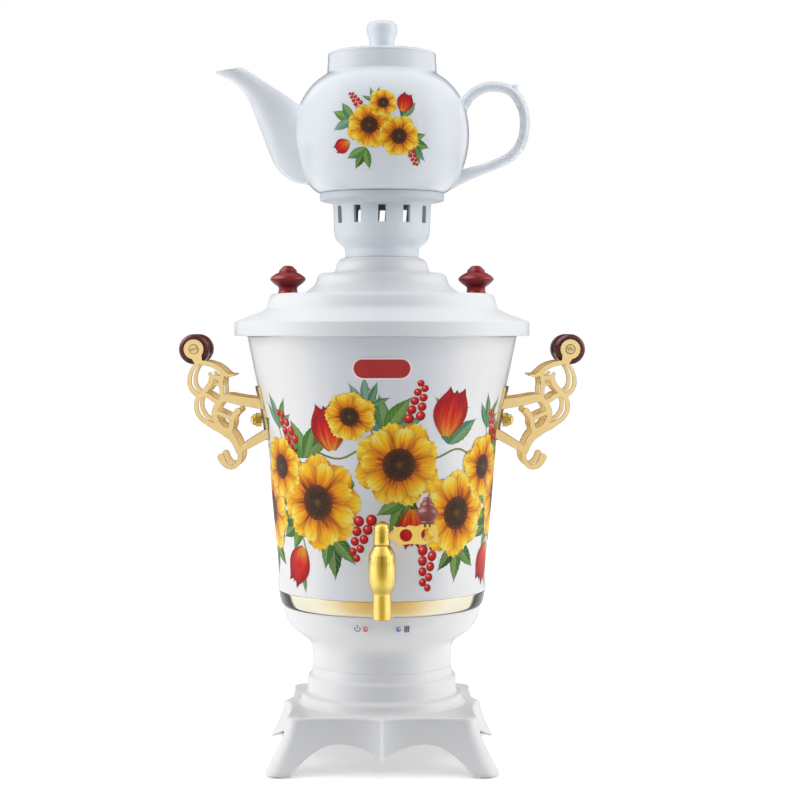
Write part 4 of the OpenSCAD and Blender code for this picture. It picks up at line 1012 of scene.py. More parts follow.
# %% The tap's body
TAP_Y = -104
TAP_Z = 152
OUTLET_Z = 116
BARREL_TOP = OUTLET_Z + 51.5
barrel_side = profile(
    OUTLET_Z, [(4.5, 0), (6.1, 0), (6.5, 0.4)], [3, (6.45, 8), (6.3, 17)],
    [5, (6.35, 18), (7.0, 19.4), (7.9, 21.2), (8.8, 23.8), (9.3, 26.6), (9.5, 30), (9.5, 38), (9.2, 44.8)],
    [3, (8.9, 45.2), (8.5, 46.1), (6.2, 50.5), (5.7, 51.2), (5.4, 51.5)],
    [(4.45, 51.5), (4.45, 27.5), (4.2, 27.5), (4.2, 0)])
barrel = turned("tap_barrel", ringed(barrel_side), steps=96, round_edges=0.2)
settle(barrel, place=(0, TAP_Y, 0))
shank_side = profile(
    0, [3, (7.6, 5.5), (6.6, 7.4), (6.15, 9.4), (6, 12)],
    [(6, 21.0), (8.2, 21.0), (8.4, 21.2), (8.4, 23.4), (8.2, 23.6), (6, 23.6), (6, 40), (0, 40), (0, 5.5),
     (7.6, 5.5)])
shank = turned("tap_shank", shank_side, steps=64, round_edges=0.2)
settle(shank, turn=(-90, 0, 0), place=(0, TAP_Y, TAP_Z))
tap = joined([barrel, shank], "tap_body_piece")
fit(paint(tap, bright_gold), "samovar", "bright_gold", "tap_body")

# %% The tap's cap
cap_side = profile(
    BARREL_TOP + 0.3, [(0, 0), (5.3, 0), (5.7, 0.3)], [3, (5.75, 0.9), (5.9, 2), (5.85, 6), (5.75, 11.4)],
    [(5.5, 11.9), (5.72, 12.3)],
    [4, (5.7, 12.7), (5.3, 13.5), (4.5, 14.5), (3, 15.7), (1.4, 16.3), (0, 16.4)])
cap = turned("tap_cap_piece", cap_side, steps=80, round_edges=0.1)
settle(cap, place=(0, TAP_Y, 0))
fit(paint(cap, bright_gold), "tap_handle", "bright_gold", "tap_cap")

# %% [markdown]
# The lever, the two scroll brackets and the machine parts keep the shape of
# their nodes. Their copies get rounded edges, which catch the light.

# %% Lever and plug
# The lever's narrow edge faces take the painted dark reflections.
fit(edged(softened("tap_lever", 0.3), lever_gold, painted_dark_edge_brass), "tap_handle", "gold_plate", "tap_lever")
fit(paint(softened("tap_plug", 0.15), plain_brass), "tap_handle", "brass", "tap_plug")

# %% The lever's knob
tap_knob_side = profile(
    0, [(0, 0), (4.6, 0)], [3, (5, 0.3), (5.3, 1), (5.1, 1.7), (4.7, 2.2)],
    [4, (5, 2.7), (5.8, 3.7), (7.2, 6), (7.7, 7.6), (7.4, 9.2), (6.2, 10.9), (5.1, 11.7)],
    [3, (4.9, 12), (5, 12.7), (4.8, 13.6), (4.2, 14.6), (3.3, 15.4)],
    [3, (3, 15.7), (3, 16.6), (2.6, 17.6), (1.6, 18.4), (0, 18.7)])
tap_knob = turned("tap_knob_piece", tap_knob_side, steps=64, round_edges=0.12)
settle(tap_knob, place=(31.5, TAP_Y, 182.6))
fit(paint(tap_knob, dusty_wood), "tap_handle", "dusty_red_wood", "tap_knob")

# %% [markdown]
# ## The side handles
# Each handle is a pair of scroll-cut cheeks on a wall plate, with a turned
# grip between them, a rod through the grip and one bolt with a dome nut.

# %% Brackets
# The brackets' narrow edge faces take the painted dark reflections.
for side in ("left", "right"):
    bracket = softened(f"handle_bracket_{side}", width=0.6, angle=32)
    fit(edged(bracket, pale_gold, painted_dark_edge_brass), "samovar", "gold_plate", f"handle_bracket_{side}")

# %% Grips
GRIP_X = 139
GRIP_Z = 303
GRIP_HALF = 21.4
grip_half_side = profile(
    -GRIP_HALF, [3, (8.4, 0), (9.8, 0.5), (10.9, 1.6), (11.2, 3), (10.7, 4.3), (9.9, 5)],
    [3, (10, 5.3), (10.6, 6.6), (11.1, 8.2), (11.2, 9.8), (10.6, 11.3), (10, 12)],
    [4, (10.1, 12.3), (10.8, 14), (11.15, 17), (11.2, GRIP_HALF)])
grip_side = ([(0, -GRIP_HALF)] + grip_half_side + [(r, -z) for r, z in reversed(grip_half_side)][1:]
             + [(0, GRIP_HALF)])
for side, name in ((-1, "left"), (1, "right")):
    grip = turned(f"grip_{name}_piece", grip_side, steps=72, round_edges=0.12, angle=30)
    settle(grip, turn=(90, 0, 0), place=(side * GRIP_X, 0, GRIP_Z))
    fit(paint(grip, dark_wood), "samovar", "dark_wood", f"grip_{name}")

# %% Rods, bolts and nuts
# The rods' narrow edge faces take the painted dark reflections.
fit(edged(softened("grip_rods", 0.35), worn_brass, painted_dark_edge_brass), "samovar", "gold_plate", "grip_rods")
fit(paint(softened("handle_nuts", 0.25), bright_gold), "samovar", "gold_plate", "handle_nuts")
fit(paint(softened("handle_bolts", 0.2), steel), "samovar", "steel", "handle_bolts")
fit(paint(softened("lid_knob_screws", 0.15), steel), "lid", "steel", "lid_knob_screws")

# %% [markdown]
# ## What is inside and behind
# The inner tank with its element, the parts under it, the inlet and the
# switch. Those with hard edges are softened, the others get their finish.

# %% Machine parts with softened edges
machine_parts = {
    "power_inlet": (0.35, black_plastic, "black_plastic"), "inlet_pins": (0.25, plain_brass, "brass"),
    "switch_housing": (0.35, black_plastic, "black_plastic"),
    "base_plate": (0.3, white_plastic, "white_plastic"),
    "base_screws": (0.2, steel, "steel"), "tap_nut": (0.25, plain_brass, "brass"),
    "element_nuts": (0.3, plain_brass, "brass"), "tie_nut": (0.2, steel, "steel"),
    "lamp_board": (0.15, board_green, "board_green"), "tie_rod": (0.2, steel, "steel"),
    "thermostat": (0.25, black_plastic, "black_plastic"), "thermal_cutout": (0.25, ceramic, "ceramic_body"),
}
for node, (width, material, slot) in machine_parts.items():
    fit(paint(softened(node, width), material), "samovar", slot, node)
fit(paint(softened("switch_rocker", 0.35), rocker_red), "rocker", "red_rocker", "switch_rocker")

# %% Nodes that keep their mesh
for node, material in (("inner_tank", steel), ("heating_element", element_steel),
                       ("tap_washers", silicone), ("internal_wiring", wire_red)):
    paint(frame["nodes"][node], material)
    print(f"{node}: {material.name}")

# %% [markdown]
# ## Badge, lamps and signs
# The badge is a blank enamelled plate with a pale rim. Two lenses stand in
# the bowl, with the generic signs for power and for heating beside them.

# %% Lamps
LAMP_X = 11.8
LAMP_Y = -61
LAMP_Z = 104
lens_side = profile(0, [(0, 0), (1.8, 0), (1.8, 10.5)],
                    [4, (1.8, 11.3), (1.62, 12.0), (1.2, 12.55), (0.6, 12.85), (0, 12.95)])
for side, name, material, slot in ((-1, "power_lamp", red_lens, "red_lens"),
                                   (1, "heating_lamp", blue_lens, "blue_lens")):
    lamp = turned(f"{name}_piece", lens_side, steps=40, round_edges=0)
    settle(lamp, turn=(90, 0, 0), place=(side * LAMP_X, LAMP_Y, LAMP_Z))
    fit(paint(lamp, material), "samovar", slot, name)

# %% [markdown]
# Flat pieces are laid on a turned surface by one helper: x runs round the
# samovar, z stays the height, and y is the distance out of the surface.

# %% Laying flat pieces on a turned surface
def laid_on(piece, outline, reference, turn=0.0):
    for vertex in piece.data.vertices:
        x, lift, z = (v / MM for v in vertex.co)
        radius = radius_at(outline, z) + lift
        angle = x / reference + turn
        vertex.co = Vector((radius * math.sin(angle), -radius * math.cos(angle), z)) * MM
    piece.data.update()
    return piece


def flat_strip(name, path, width, lift):
    """A ribbon in the plane of x and z along a path."""
    rows = []
    last = len(path) - 1
    for i, point in enumerate(path):
        here = Vector(point)
        along = (Vector(path[min(i + 1, last)]) - Vector(path[max(i - 1, 0)])).normalized()
        side = Vector((-along.y, along.x)) * width / 2
        rows.append((here + side, here - side))

    def place(column, row):
        edge = rows[row][column]
        return Vector((edge.x, lift, edge.y)) * MM

    return grid(name, 1, last, place)


# %% Signs for power and heating
ICON_LIFT = 0.07
SIGN_X = 18
RING_RADIUS = 2.0
ring_angles = [math.radians(52 + 256 * k / 24) for k in range(25)]
power_ring = [(RING_RADIUS * math.sin(a), RING_RADIUS * math.cos(a)) for a in ring_angles]
power_bar = [(0, -0.1 + 3 * k / 10) for k in range(11)]
signs = [settle(flat_strip(name, path, 0.6, ICON_LIFT), place=(-17.8, 0, LAMP_Z + 0.3))
         for name, path in (("power_ring", power_ring), ("power_bar", power_bar))]
for column in (-1.35, 0, 1.35):
    wave = [(column + 0.3 * math.sin(FULL_TURN * k / 8), -2.4 + 4.8 * k / 16) for k in range(17)]
    signs.append(settle(flat_strip("heat_wave", wave, 0.9, ICON_LIFT), place=(SIGN_X, 0, LAMP_Z)))
signs = laid_on(joined(signs, "lamp_signs"), bowl_side, 72.6)
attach(paint(signs, icon_ink), "samovar")
print("lamp_signs:", len(signs.data.polygons), "faces")

# %% The badge
BADGE_Z = 290
BADGE_W = 42
BADGE_H = 15.5
BADGE_RADIUS = 96
END_ANGLES = (0, 15, 30, 45, 57, 68, 77, 84, 88)


def badge_plate(name, coat, shrink, low, high):
    """Sections across a pill-shaped plate, close together at its round ends."""
    w = BADGE_W / 2 - shrink
    h = BADGE_H / 2 - shrink
    half = [((w - h) * k / 8, h) for k in range(8)]
    for a in (math.radians(v) for v in END_ANGLES):
        half.append((w - h + h * math.sin(a), h * math.cos(a)))
    rings = []
    for x, tall in [(-x, tall) for x, tall in reversed(half[1:])] + half:
        soft = min(0.25, tall / 2)
        section = ((low, -tall), (high - 0.2, -tall), (high, -tall + soft), (high, 0),
                   (high, tall - soft), (high - 0.2, tall), (low, tall))
        rings.append([(x, y, BADGE_Z + z) for y, z in section])
    return paint(laid_on(skinned(name, rings), flare, BADGE_RADIUS), coat)


rim_plate = badge_plate("badge_rim_plate", badge_rim, 0, -0.2, 0.85)
red_plate = badge_plate("badge_red_plate", badge_red, 1.15, -0.2, 1.05)
badge = joined([red_plate, rim_plate], "nameplate_piece")
fit(badge, "samovar", "red_badge", "nameplate")

# %% [markdown]
# ## The painted flowers
# A garland of golden blossoms, red tulips, currants and leaves runs round the
# casing, and a small spray lies on the pot. Every petal, leaf and berry is a
# thin sheet that is modelled once, copied, coloured by its own tone and
# laid on the surface a hair above the one below it.

# %% Reading a painted sheet
def sheet_places(material):
    """Across (-1 to 1) and along (0 to 1) a sheet, and its own tone."""
    parts = parts_of(material, add(material, "TexCoord").outputs["UV"])
    across = mathed(material, "MULTIPLY", mathed(material, "SUBTRACT", parts["X"], 0.5), 2.0)
    tone = add(material, "Attribute", attribute_name="tone").outputs["Fac"]
    return across, parts["Y"], tone


def streaks(material, across, along, tone, fine):
    """Brush streaks that run along the sheet and differ on each one."""
    place = add(material, "CombineXYZ", {"X": mathed(material, "MULTIPLY", across, fine),
                                         "Y": mathed(material, "MULTIPLY", along, 1.6),
                                         "Z": mathed(material, "MULTIPLY", tone, 40.0)})
    texture = add(material, "TexNoise", {"Vector": place.outputs[0], "Scale": 1.0, "Detail": 4.0})
    return spread(material, texture.outputs["Fac"], -0.5, 0.5, 0.3, 0.7)


def rim_share(material, across, power, most):
    """Grows towards both edges of a sheet."""
    rim = mathed(material, "POWER", mathed(material, "ABSOLUTE", across), power)
    return mathed(material, "MULTIPLY", rim, most)


def painted(name, colour):
    return finish(name, colour, 0.4, Specular_IOR_Level=0.2)


# %% Petals
def petal_paint(name, stops, edge, fine=5.0):
    """Colours along the petal, pushed by streaks and tone, with a soft edge."""
    material = painted(name, stops[-2][1])
    across, along, tone = sheet_places(material)
    push = mathed(material, "MULTIPLY", streaks(material, across, along, tone, fine), 0.46)
    lean = mathed(material, "MULTIPLY", mathed(material, "SUBTRACT", tone, 0.5), 0.36)
    place = mathed(material, "ADD", mathed(material, "ADD", along, push), lean)
    colours = ramp(material, place, stops)
    dress(material, "Base Color", blended(material, rim_share(material, across, 4.0, 0.9), colours, edge))
    return material


golden_petal = petal_paint("golden_petal_paint", [
    (0.0, (0.10, 0.018, 0.003)), (0.20, (0.42, 0.08, 0.003)), (0.42, (0.84, 0.25, 0.004)),
    (0.64, (0.95, 0.47, 0.008)), (0.86, (0.97, 0.66, 0.03)), (1.0, (0.99, 0.80, 0.16))], (0.56, 0.14, 0.003))
red_petal = petal_paint("red_petal_paint", [
    (0.0, (0.72, 0.34, 0.02)), (0.16, (0.78, 0.12, 0.012)), (0.45, (0.68, 0.018, 0.010)),
    (0.75, (0.50, 0.006, 0.010)), (1.0, (0.30, 0.003, 0.010))], (0.26, 0.002, 0.008))

# %% Leaves
SIDE_VEINS = 7.0
VEIN_SLANT = 1.7
leaf_paint = painted("leaf_paint", (0.05, 0.17, 0.03))


def leaf_sum(operation, a, b=0.0):
    return mathed(leaf_paint, operation, a, b)


across, along, tone = sheet_places(leaf_paint)
off_rib = leaf_sum("ABSOLUTE", across)
brushed = leaf_sum("MULTIPLY", streaks(leaf_paint, across, along, tone, 3.0), 0.22)
greens = ramp(leaf_paint, leaf_sum("ADD", tone, brushed), [
    (0.0, (0.012, 0.055, 0.012)), (0.3, (0.035, 0.14, 0.02)), (0.55, (0.10, 0.27, 0.03)),
    (0.78, (0.04, 0.20, 0.14)), (1.0, (0.16, 0.36, 0.30))])
pale_half = leaf_sum("MULTIPLY", leaf_sum("GREATER_THAN", across, 0.0), 0.30)
halves = blended(leaf_paint, pale_half, greens, (0.42, 0.58, 0.18))
slanted = leaf_sum("SUBTRACT", leaf_sum("MULTIPLY", along, SIDE_VEINS),
                   leaf_sum("MULTIPLY", off_rib, VEIN_SLANT))
veins = leaf_sum("MAXIMUM", leaf_sum("LESS_THAN", leaf_sum("FRACT", slanted), 0.10),
                 leaf_sum("LESS_THAN", off_rib, 0.07))
veined = blended(leaf_paint, leaf_sum("MULTIPLY", veins, 0.35), halves, (0.52, 0.62, 0.30))
leaf_rim = rim_share(leaf_paint, across, 6.0, 0.7)
dress(leaf_paint, "Base Color", blended(leaf_paint, leaf_rim, veined, (0.015, 0.06, 0.02)))

# %% Eyes, currants and stems
def disc_distance(material, x, y):
    """The distance on a disc from a place on it, where its radius is 1."""
    mapping = add(material, "Mapping", {"Vector": add(material, "TexCoord").outputs["UV"],
                                        "Scale": (2, 2, 0), "Location": (-1 - x, -1 - y, 0)})
    place = mapping.outputs["Vector"]
    return vectored(material, "LENGTH", place)["Value"], place


eye_paint = painted("blossom_eye_paint", (0.04, 0.015, 0.008))
eye_distance, eye_place = disc_distance(eye_paint, 0, 0)
eye_rings = ramp(eye_paint, eye_distance, [
    (0.0, (0.13, 0.085, 0.012)), (0.24, (0.045, 0.022, 0.006)), (0.5, (0.022, 0.008, 0.005)),
    (0.80, (0.06, 0.018, 0.006)), (1.0, (0.13, 0.035, 0.006))])
florets = add(eye_paint, "TexVoronoi", {"Scale": 13.0, "Vector": eye_place})
dots = spread(eye_paint, florets.outputs["Distance"], 0.55, 0.0, 0.10, 0.42)
dress(eye_paint, "Base Color", blended(eye_paint, dots, eye_rings, (0.34, 0.15, 0.035)))

berry_paint = painted("currant_paint", (0.6, 0.01, 0.012))
berry_distance = disc_distance(berry_paint, -0.3, 0.34)[0]
dress(berry_paint, "Base Color", ramp(berry_paint, mathed(berry_paint, "MULTIPLY", berry_distance, 0.7), [
    (0.0, (1.0, 0.80, 0.70)), (0.10, (0.95, 0.30, 0.20)), (0.22, (0.78, 0.03, 0.02)),
    (0.60, (0.52, 0.006, 0.010)), (1.0, (0.16, 0.001, 0.006))]))

stem_paint = painted("stem_paint", (0.12, 0.20, 0.04))
tint(stem_paint, [(0.05, 0.13, 0.02), (0.22, 0.26, 0.06), (0.20, 0.10, 0.03)], noise(stem_paint, 60))

# %% [markdown]
# The sheets: a grid whose rows run from the root to the tip takes the shape
# of a petal or a leaf, and one that is rolled up into a disc becomes an eye
# or a berry. Each is one unit long, and copies are scaled to millimetres.

# %% Sheets to copy
def sheet(name, half_width, material, tip_wave=0.0, columns=6, rows=9):
    def place(column, row):
        across = 2 * column / columns - 1
        along = row / rows
        tip = tip_wave * along ** 6 * math.cos(2.6 * math.pi * across)
        return (across * half_width(along), 0, along * (1 + tip - 0.10 * along ** 3 * across ** 2))

    return paint(grid(name, columns, rows, place), material)


def disc(name, material, spokes=24, rows=5):
    def place(column, row):
        a = FULL_TURN * column / spokes
        return (row / rows * math.sin(a), 0, row / rows * math.cos(a))

    piece = grid(name, spokes, rows, place)
    layer = piece.data.uv_layers.active.data
    for loop in piece.data.loops:
        x, y, z = piece.data.vertices[loop.vertex_index].co
        layer[loop.index].uv = (x / 2 + 0.5, z / 2 + 0.5)
    return paint(edit(piece, lambda: merge(1)), material)


def blossom_width(v):
    return 0.40 * (0.30 + 0.70 * min(v / 0.7, 1) ** 0.9) * (1 - max(v - 0.72, 0) ** 2 * 7.5) ** 0.5


def tulip_width(v):
    return 0.34 * math.sin(math.pi * min(0.10 + 0.90 * v, 1) ** 1.15) ** 0.8


def leaf_width(v):
    return 0.19 * math.sin(math.pi * min(0.02 + 0.98 * v, 1) ** 0.85) ** 0.9 * (1 + 0.07 * math.sin(38 * v))


def slim_width(v):
    return 0.115 * math.sin(math.pi * min(0.02 + 0.98 * v, 1))


petal_sheet = sheet("petal_sheet", blossom_width, golden_petal, 0.05)
tulip_sheet = sheet("tulip_sheet", tulip_width, red_petal)
leaf_sheet = sheet("leaf_sheet", leaf_width, leaf_paint, rows=14)
slim_sheet = sheet("slim_leaf_sheet", slim_width, leaf_paint, columns=4, rows=12)
disc_sheet = disc("disc_sheet", eye_paint)
berry_sheet = disc("berry_sheet", berry_paint, 14, 3)
print("faces of a petal:", len(petal_sheet.data.polygons), "and of a leaf:", len(leaf_sheet.data.polygons))

# %% [markdown]
# A picture is a list of placed sheets. Each copy is bent, scaled, turned and
# moved in the flat picture. Neighbours in a ring overlap like shingles: one
# edge of each sheet lies a little higher than the other.

# %% Placing sheets in a picture
LAYER = 0.03
LOWEST = 0.04
SHINGLE = 0.35


def placed(template, x, z, length, turn, level, tone, bend=0.0, widen=1.0):
    """A copy at a place in the picture, turned clockwise from straight up."""
    piece = copy_of(template, template.name + "_copy")
    c, s = math.cos(math.radians(turn)), math.sin(math.radians(turn))
    for vertex in piece.data.vertices:
        u, _, v = vertex.co
        height = (level + SHINGLE * u) * LAYER + LOWEST
        u = (u * widen + bend * v * v) * length
        v = v * length
        vertex.co = ((x + u * c + v * s) * MM, height * MM, (z - u * s + v * c) * MM)
    values = piece.data.attributes.new("tone", "FLOAT", "POINT")
    values.data.foreach_set("value", [tone] * len(piece.data.vertices))
    return piece


def picture(parts, name, outline, reference, turn=0.0):
    return laid_on(joined(parts, name), outline, reference, turn)


# %% Blossoms and tulips
EYE_SHARE = 0.38
PETAL_ROOT = 0.7


def blossom(x, z, radius, petals, dice, level=8):
    """Two rings of petals round a dark eye."""
    parts = []
    start = dice.uniform(0, 360)
    eye = radius * EYE_SHARE
    root = eye * PETAL_ROOT
    for ring, (reach, tones) in enumerate(((1.0, (0.05, 0.5)), (0.90, (0.42, 0.95)))):
        for i in range(petals):
            turn = start + 360 * (i + 0.5 * ring) / petals + dice.uniform(-4, 4)
            length = (radius * reach - root) * dice.uniform(0.92, 1.05)
            a = math.radians(turn)
            parts.append(placed(petal_sheet, x + root * math.sin(a), z + root * math.cos(a), length, turn,
                                level + 1.5 * ring, dice.uniform(*tones), dice.uniform(-0.10, 0.10),
                                9 / petals * dice.uniform(0.92, 1.08)))
    parts.append(placed(disc_sheet, x, z, eye, 0, level + 3.5, 0.5))
    return parts


def tulip(x, z, length, turn, dice, level=5):
    """Two outer petals behind a broad one."""
    return [placed(tulip_sheet, x, z, length * size, turn + lean, level + step,
                   dice.uniform(0.25, 0.75), -0.006 * lean, widen)
            for lean, size, widen, step in ((-15, 0.96, 0.85, 0), (15, 0.98, 0.85, 0.8),
                                            (0, 0.90, 1.05, 1.7))]


# %% Currants, leaves and stems
BERRIES = 9


def currants(x, z, size, turn, dice, level=3):
    """A string of berries that get smaller towards its end."""
    parts = []
    c, s = math.cos(math.radians(turn)), math.sin(math.radians(turn))
    for i in range(BERRIES):
        down = i * 0.95 * size
        side = (1.15 if i % 2 else -1.15) * size * (1 - i / 14)
        berry = size * (1.06 - 0.045 * i)
        parts.append(placed(berry_sheet, x + down * s + side * c, z + down * c - side * s, berry, 0,
                            level + 0.45 * i, dice.uniform(0.3, 0.7)))
    return parts


def leaves(template, x, z, fan, dice, level=1, tones=(0.0, 0.7)):
    """Leaves from one point: (turn, length, bend) for each."""
    return [placed(template, x, z, length, turn, level + 0.5 * (i % 3), dice.uniform(*tones), bend)
            for i, (turn, length, bend) in enumerate(fan)]


def stem(points, width, level=0.5):
    return paint(flat_strip("stem", curve(points, 6), width, LOWEST + level * LAYER), stem_paint)


# %% [markdown]
# The garland is written down once, as places round the casing and heights in
# millimetres, and stands three times round it, each time with other dice.

# %% The casing's garland
GARLAND_RADIUS = 84
garland_stems = (
    (((-88, 214), (-60, 232), (-30, 226), (0, 240), (34, 226), (60, 232), (88, 214)), 1.5),
    (((-52, 200), (-66, 172), (-62, 150), (-70, 140)), 1.2),
    (((-4, 238), (-10, 256), (-4, 268), (-10, 278)), 0.9),
    (((58, 190), (36, 172), (34, 160)), 1.0),
    (((-88, 214), (-84, 236), (-90, 252)), 1.0))
garland_leaves = (
    (-60, 226, ((-52, 34, 0.12), (-18, 30, -0.1), (18, 27, 0.1), (48, 30, 0.1)), (0.1, 0.75)),
    (-66, 182, ((-128, 31, 0.12), (-92, 33, -0.1), (-158, 28, 0.1)), (0.0, 0.6)),
    (-40, 172, ((168, 34, 0.12), (132, 30, 0.1), (198, 27, -0.1)), (0.0, 0.6)),
    (2, 246, ((-50, 30, -0.12), (-14, 27, 0.1), (30, 30, 0.1), (66, 28, 0.12)), (0.3, 1.0)),
    (18, 200, ((200, 30, 0.1), (166, 33, -0.1), (232, 27, 0.1)), (0.0, 0.6)),
    (50, 236, ((-20, 31, 0.1), (14, 33, -0.1), (48, 30, 0.1)), (0.2, 0.8)),
    (74, 196, ((60, 30, 0.1), (96, 31, -0.12), (28, 28, 0.1)), (0.1, 0.8)),
    (62, 166, ((176, 31, 0.12), (140, 30, -0.1), (214, 28, 0.1)), (0.0, 0.6)),
    (-20, 208, ((252, 28, 0.1), (288, 26, -0.1)), (0.2, 0.8)))
garland_slim_leaves = (
    (-10, 262, ((-38, 22, 0.1), (-8, 24, 0.1), (26, 21, -0.1), (-70, 18, 0.1), (58, 18, 0.1))),
    (-86, 246, ((-40, 24, 0.1), (-10, 28, -0.1), (22, 26, 0.1), (50, 20, 0.1))),
    (48, 258, ((-52, 18, 0.1), (40, 20, -0.1), (72, 18, 0.1))),
    (-70, 146, ((160, 20, 0.1), (196, 18, 0.1), (236, 20, 0.1))))
garland_tulips = ((-36, 232, 36, -8), (46, 242, 37, 10), (-66, 160, 33, 210), (84, 212, 34, 62),
                  (22, 190, 30, 178))
garland_currants = ((36, 164, 4.0, 184), (-12, 184, 3.9, 198), (-70, 234, 3.6, -28), (22, 254, 3.4, 10))
garland_blossoms = ((-50, 194, 34, 8, 9), (12, 222, 31, 8, 9), (60, 186, 32, 8, 9), (-88, 218, 24, 8, 13),
                    (-22, 256, 18, 7, 13))


def garland(seed):
    dice = random.Random(seed)
    parts = [stem(points, width) for points, width in garland_stems]
    for x, z, fan, tones in garland_leaves:
        parts += leaves(leaf_sheet, x, z, fan, dice, 1, tones)
    for x, z, fan in garland_slim_leaves:
        parts += leaves(slim_sheet, x, z, fan, dice, 2.5, (0.6, 1.0))
    for place in garland_tulips:
        parts += tulip(*place, dice)
    for place in garland_currants:
        parts += currants(*place, dice)
    for x, z, radius, petals, level in garland_blossoms:
        parts += blossom(x, z, radius, petals, dice, level)
    return picture(parts, f"garland_{seed}", flare, GARLAND_RADIUS, seed * FULL_TURN / 3)


casing_print = smooth(joined([garland(seed) for seed in range(3)], "casing_garland"), 60)
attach(casing_print, "samovar")
print("casing_garland:", len(casing_print.data.polygons), "faces")

# %% The pot's spray
POT_RADIUS = 64
spray_leaves = (
    (leaf_sheet, -20, 468, ((-74, 19, 0.1), (-44, 17, 0.1), (-108, 18, -0.1)), 1, (0.2, 1.0)),
    (leaf_sheet, 18, 452, ((96, 19, 0.1), (128, 17, -0.1), (62, 16, 0.1)), 1, (0.0, 0.8)),
    (leaf_sheet, -12, 448, ((206, 18, 0.1), (176, 16, -0.1), (238, 17, 0.1)), 1, (0.1, 0.9)),
    (slim_sheet, -4, 480, ((-30, 14, 0.1), (4, 13, 0.1), (-58, 13, -0.1)), 2, (0.6, 1.0)),
    (leaf_sheet, 14, 470, ((18, 17, 0.1), (52, 16, -0.1)), 1, (0.2, 0.9)),
    (slim_sheet, 24, 446, ((120, 13, 0.1), (150, 12, -0.1)), 2, (0.5, 1.0)))
dice = random.Random(11)
spray = [stem([(-30, 470), (-14, 462), (4, 466), (30, 448)], 0.8), stem([(-8, 470), (-18, 484)], 0.7)]
for template, x, z, fan, level, tones in spray_leaves:
    spray += leaves(template, x, z, fan, dice, level, tones)
spray += tulip(14, 474, 16, 24, dice) + tulip(-24, 452, 14, 246, dice)
spray += currants(20, 448, 1.8, 150, dice) + currants(-16, 478, 1.7, -40, dice)
for x, z, radius, petals, level in ((1, 480, 10.5, 7, 13), (-9, 464, 16.5, 8, 9), (12, 456, 15, 8, 13)):
    spray += blossom(x, z, radius, petals, dice, level)
pot_print = smooth(picture(spray, "pot_spray", belly, POT_RADIUS), 60)
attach(pot_print, "teapot")
print("pot_spray:", len(pot_print.data.polygons), "faces")
for template in (petal_sheet, tulip_sheet, leaf_sheet, slim_sheet, disc_sheet, berry_sheet):
    bpy.data.objects.remove(template)

# %% [markdown]
# ## The studio
# A pale floor that fades into a white background, soft lamps at both sides,
# above, behind and in front. The white shows to the camera and in reflections
# and lights nothing, because it hangs on the kind of ray that meets it.

# %% Camera
CAMERA_PLACE = (0, -1.4, 0.315)
LENS = 84.0
SENSOR = 36.0
camera_data = bpy.data.cameras.new("portrait_camera")
camera = bpy.data.objects.new("portrait_camera", camera_data)
bpy.context.scene.collection.objects.link(camera)
camera.location = CAMERA_PLACE
camera.rotation_euler = (math.radians(90), 0, 0)
camera_data.lens = LENS
camera_data.sensor_width = SENSOR
camera_data.sensor_fit = "AUTO"
camera_data.shift_x = 0.0225
camera_data.shift_y = -0.08375
camera_data.clip_end = 50
bpy.context.scene.camera = camera
bpy.context.scene.view_settings.view_transform = "Standard"
print("camera at", CAMERA_PLACE, "m with a lens of", LENS, "mm")

# %% World
WHITE = (1, 1, 1, 1)
SKY = (0.88, 0.93, 1.0, 1)
SKY_STRENGTH = 0.04


def seen_share(material, mirrored=1.0):
    """1 for rays from the camera or through glass, and this share for reflections."""
    ray = add(material, "LightPath").outputs
    seen = mathed(material, "MAXIMUM", ray["Is Camera Ray"],
                  mathed(material, "MULTIPLY", ray["Is Glossy Ray"], mirrored))
    return mathed(material, "MAXIMUM", seen, ray["Is Transmission Ray"])


world = bpy.data.worlds.new("studio")
bpy.context.scene.world = world
world.use_nodes = True
sky = world.node_tree.nodes["Background"]
feed(world, sky.inputs["Color"], SKY)
feed(world, sky.inputs["Strength"], SKY_STRENGTH)
white = add(world, "Background", {"Color": WHITE, "Strength": 1.0})
both = add(world, "MixShader", {0: seen_share(world), 1: sky.outputs[0], 2: white.outputs[0]})
feed(world, world.node_tree.nodes["World Output"].inputs["Surface"], both.outputs[0])
print("the sky lights with strength", SKY_STRENGTH)

# %% Floor
FLOOR_RADIUS = 6
GLOW_NEAR = 0.45     # the glow at the samovar,
GLOW_START = 0.15    # which grows from this distance in metres
GLOW_FULL = 0.9      # to full white at this one
deselect_all()
bpy.ops.mesh.primitive_circle_add(vertices=64, radius=FLOOR_RADIUS, fill_type="NGON")
floor = named("studio_floor")
floor_white = finish("floor_white", (0.86, 0.86, 0.86), 0.9, Specular_IOR_Level=0.0)
distance = vectored(floor_white, "LENGTH", object_place(floor_white))["Value"]
fade = spread(floor_white, distance, GLOW_NEAR, 1.0, GLOW_START, GLOW_FULL)
strength = mathed(floor_white, "MULTIPLY", seen_share(floor_white, 0.3), fade)
glow = add(floor_white, "Emission", {"Color": WHITE, "Strength": strength})
both = add(floor_white, "AddShader", {0: shader_of(floor_white).outputs[0], 1: glow.outputs[0]})
feed(floor_white, floor_white.node_tree.nodes["Material Output"].inputs["Surface"], both.outputs[0])
paint(floor, floor_white)
print(floor.name, "with a radius of", FLOOR_RADIUS, "m")

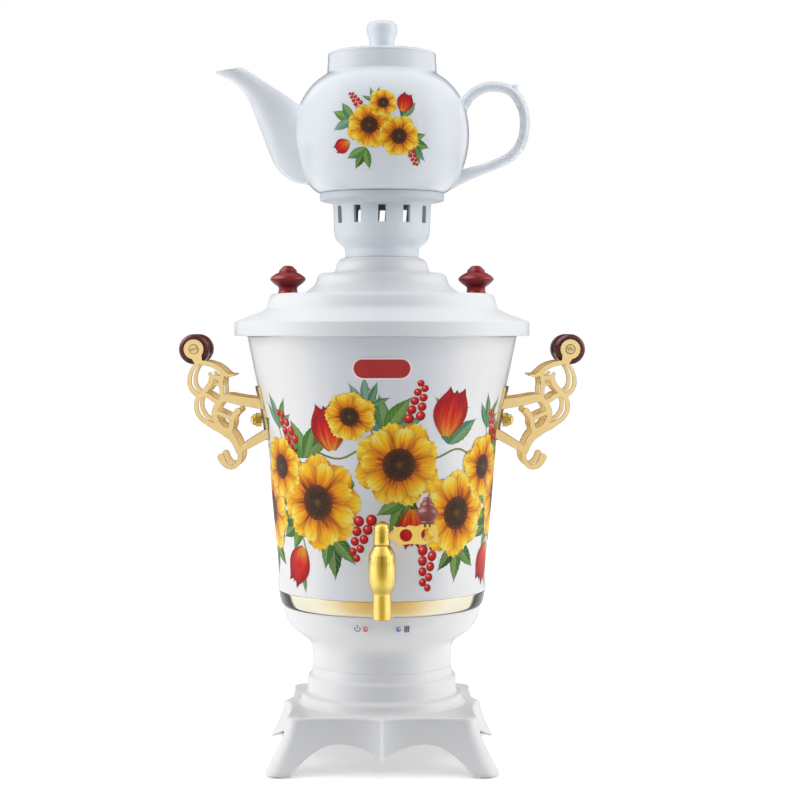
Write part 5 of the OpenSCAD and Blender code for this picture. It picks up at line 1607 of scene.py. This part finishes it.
# %% Lamps
AIM = Vector((0, 0, 0.28))
LAMPS = (("left_lamp", (1.4, 1.4), 19.5, (-1.70, -0.22, 0.75)),
         ("right_lamp", (1.4, 1.4), 18.0, (1.70, -0.22, 0.75)),
         ("top_lamp", (1.0, 1.0), 14, (0, 0, 1.9)), ("rear_lamp", (1.0, 0.7), 15, (0, 1.2, 1.5)),
         ("front_lamp", (1.0, 0.7), 4.5, (0, -1.2, 1.5)))
for name, size, power, place in LAMPS:
    lamp_data = bpy.data.lights.new(name, "AREA")
    lamp_data.shape = "RECTANGLE"
    lamp_data.size, lamp_data.size_y = size
    lamp_data.energy = power
    lamp = bpy.data.objects.new(name, lamp_data)
    bpy.context.scene.collection.objects.link(lamp)
    lamp.location = place
    lamp.visible_glossy = False
    lamp.rotation_euler = (AIM - Vector(place)).to_track_quat("-Z", "Y").to_euler()
    print(f"{name}: {power} W at {place}")

# %% [markdown]
# Cards that only reflections see give the shiny pieces something to mirror: a
# large one behind the camera that is darker in its middle, a dark one behind
# the samovar, and a brighter one and a narrow strip at each side.

# %% Cards
CARD_Z = 1.52


def studio_card(name, size, place, facing, stops):
    """A card with these levels from its middle (0) to its ends (1)."""
    deselect_all()
    bpy.ops.mesh.primitive_plane_add(size=1, location=place,
                                     rotation=(math.radians(90), 0, math.radians(facing)))
    card = named(name)
    card.scale = (size[0], size[1], 1)
    bpy.ops.object.transform_apply(location=False, rotation=False, scale=True)
    coat = finish(name + "_paint", (0, 0, 0), 1.0)
    across = parts_of(coat, object_place(coat))["X"]
    share = mathed(coat, "DIVIDE", mathed(coat, "ABSOLUTE", across), size[0] / 2)
    glow = add(coat, "Emission", {"Color": ramp(coat, share, [(p, (v, v, v)) for p, v in stops])})
    feed(coat, coat.node_tree.nodes["Material Output"].inputs["Surface"], glow.outputs[0])
    paint(card, coat)
    for ray in ("camera", "diffuse", "shadow"):
        setattr(card, "visible_" + ray, False)
    print(f"{name}: {size[0]} by {size[1]} m")


studio_card("front_card", (7.0, 3.0), (0, -2.4, CARD_Z), 0,
            [(0, 0.42), (0.04, 0.55), (0.08, 0.92), (0.6, 0.96), (1, 1)])
studio_card("back_card", (2.8, 3.0), (0, 2.4, CARD_Z), 0, [(0, 0.03), (0.85, 0.04), (1, 0.6)])
for side, name in ((-1, "left"), (1, "right")):
    studio_card(name + "_strip", (0.24, 1.7), (side, -0.86, 0.86), -side * 49, [(0, 5), (0.6, 4.5), (1, 2.5)])
for side, name in ((-1, "left"), (1, "right")):
    studio_card(name + "_card", (2.0, 3.0), (side * 2.1, -0.3, CARD_Z), 90, [(0, 1.7), (0.5, 1.5), (1, 1)])
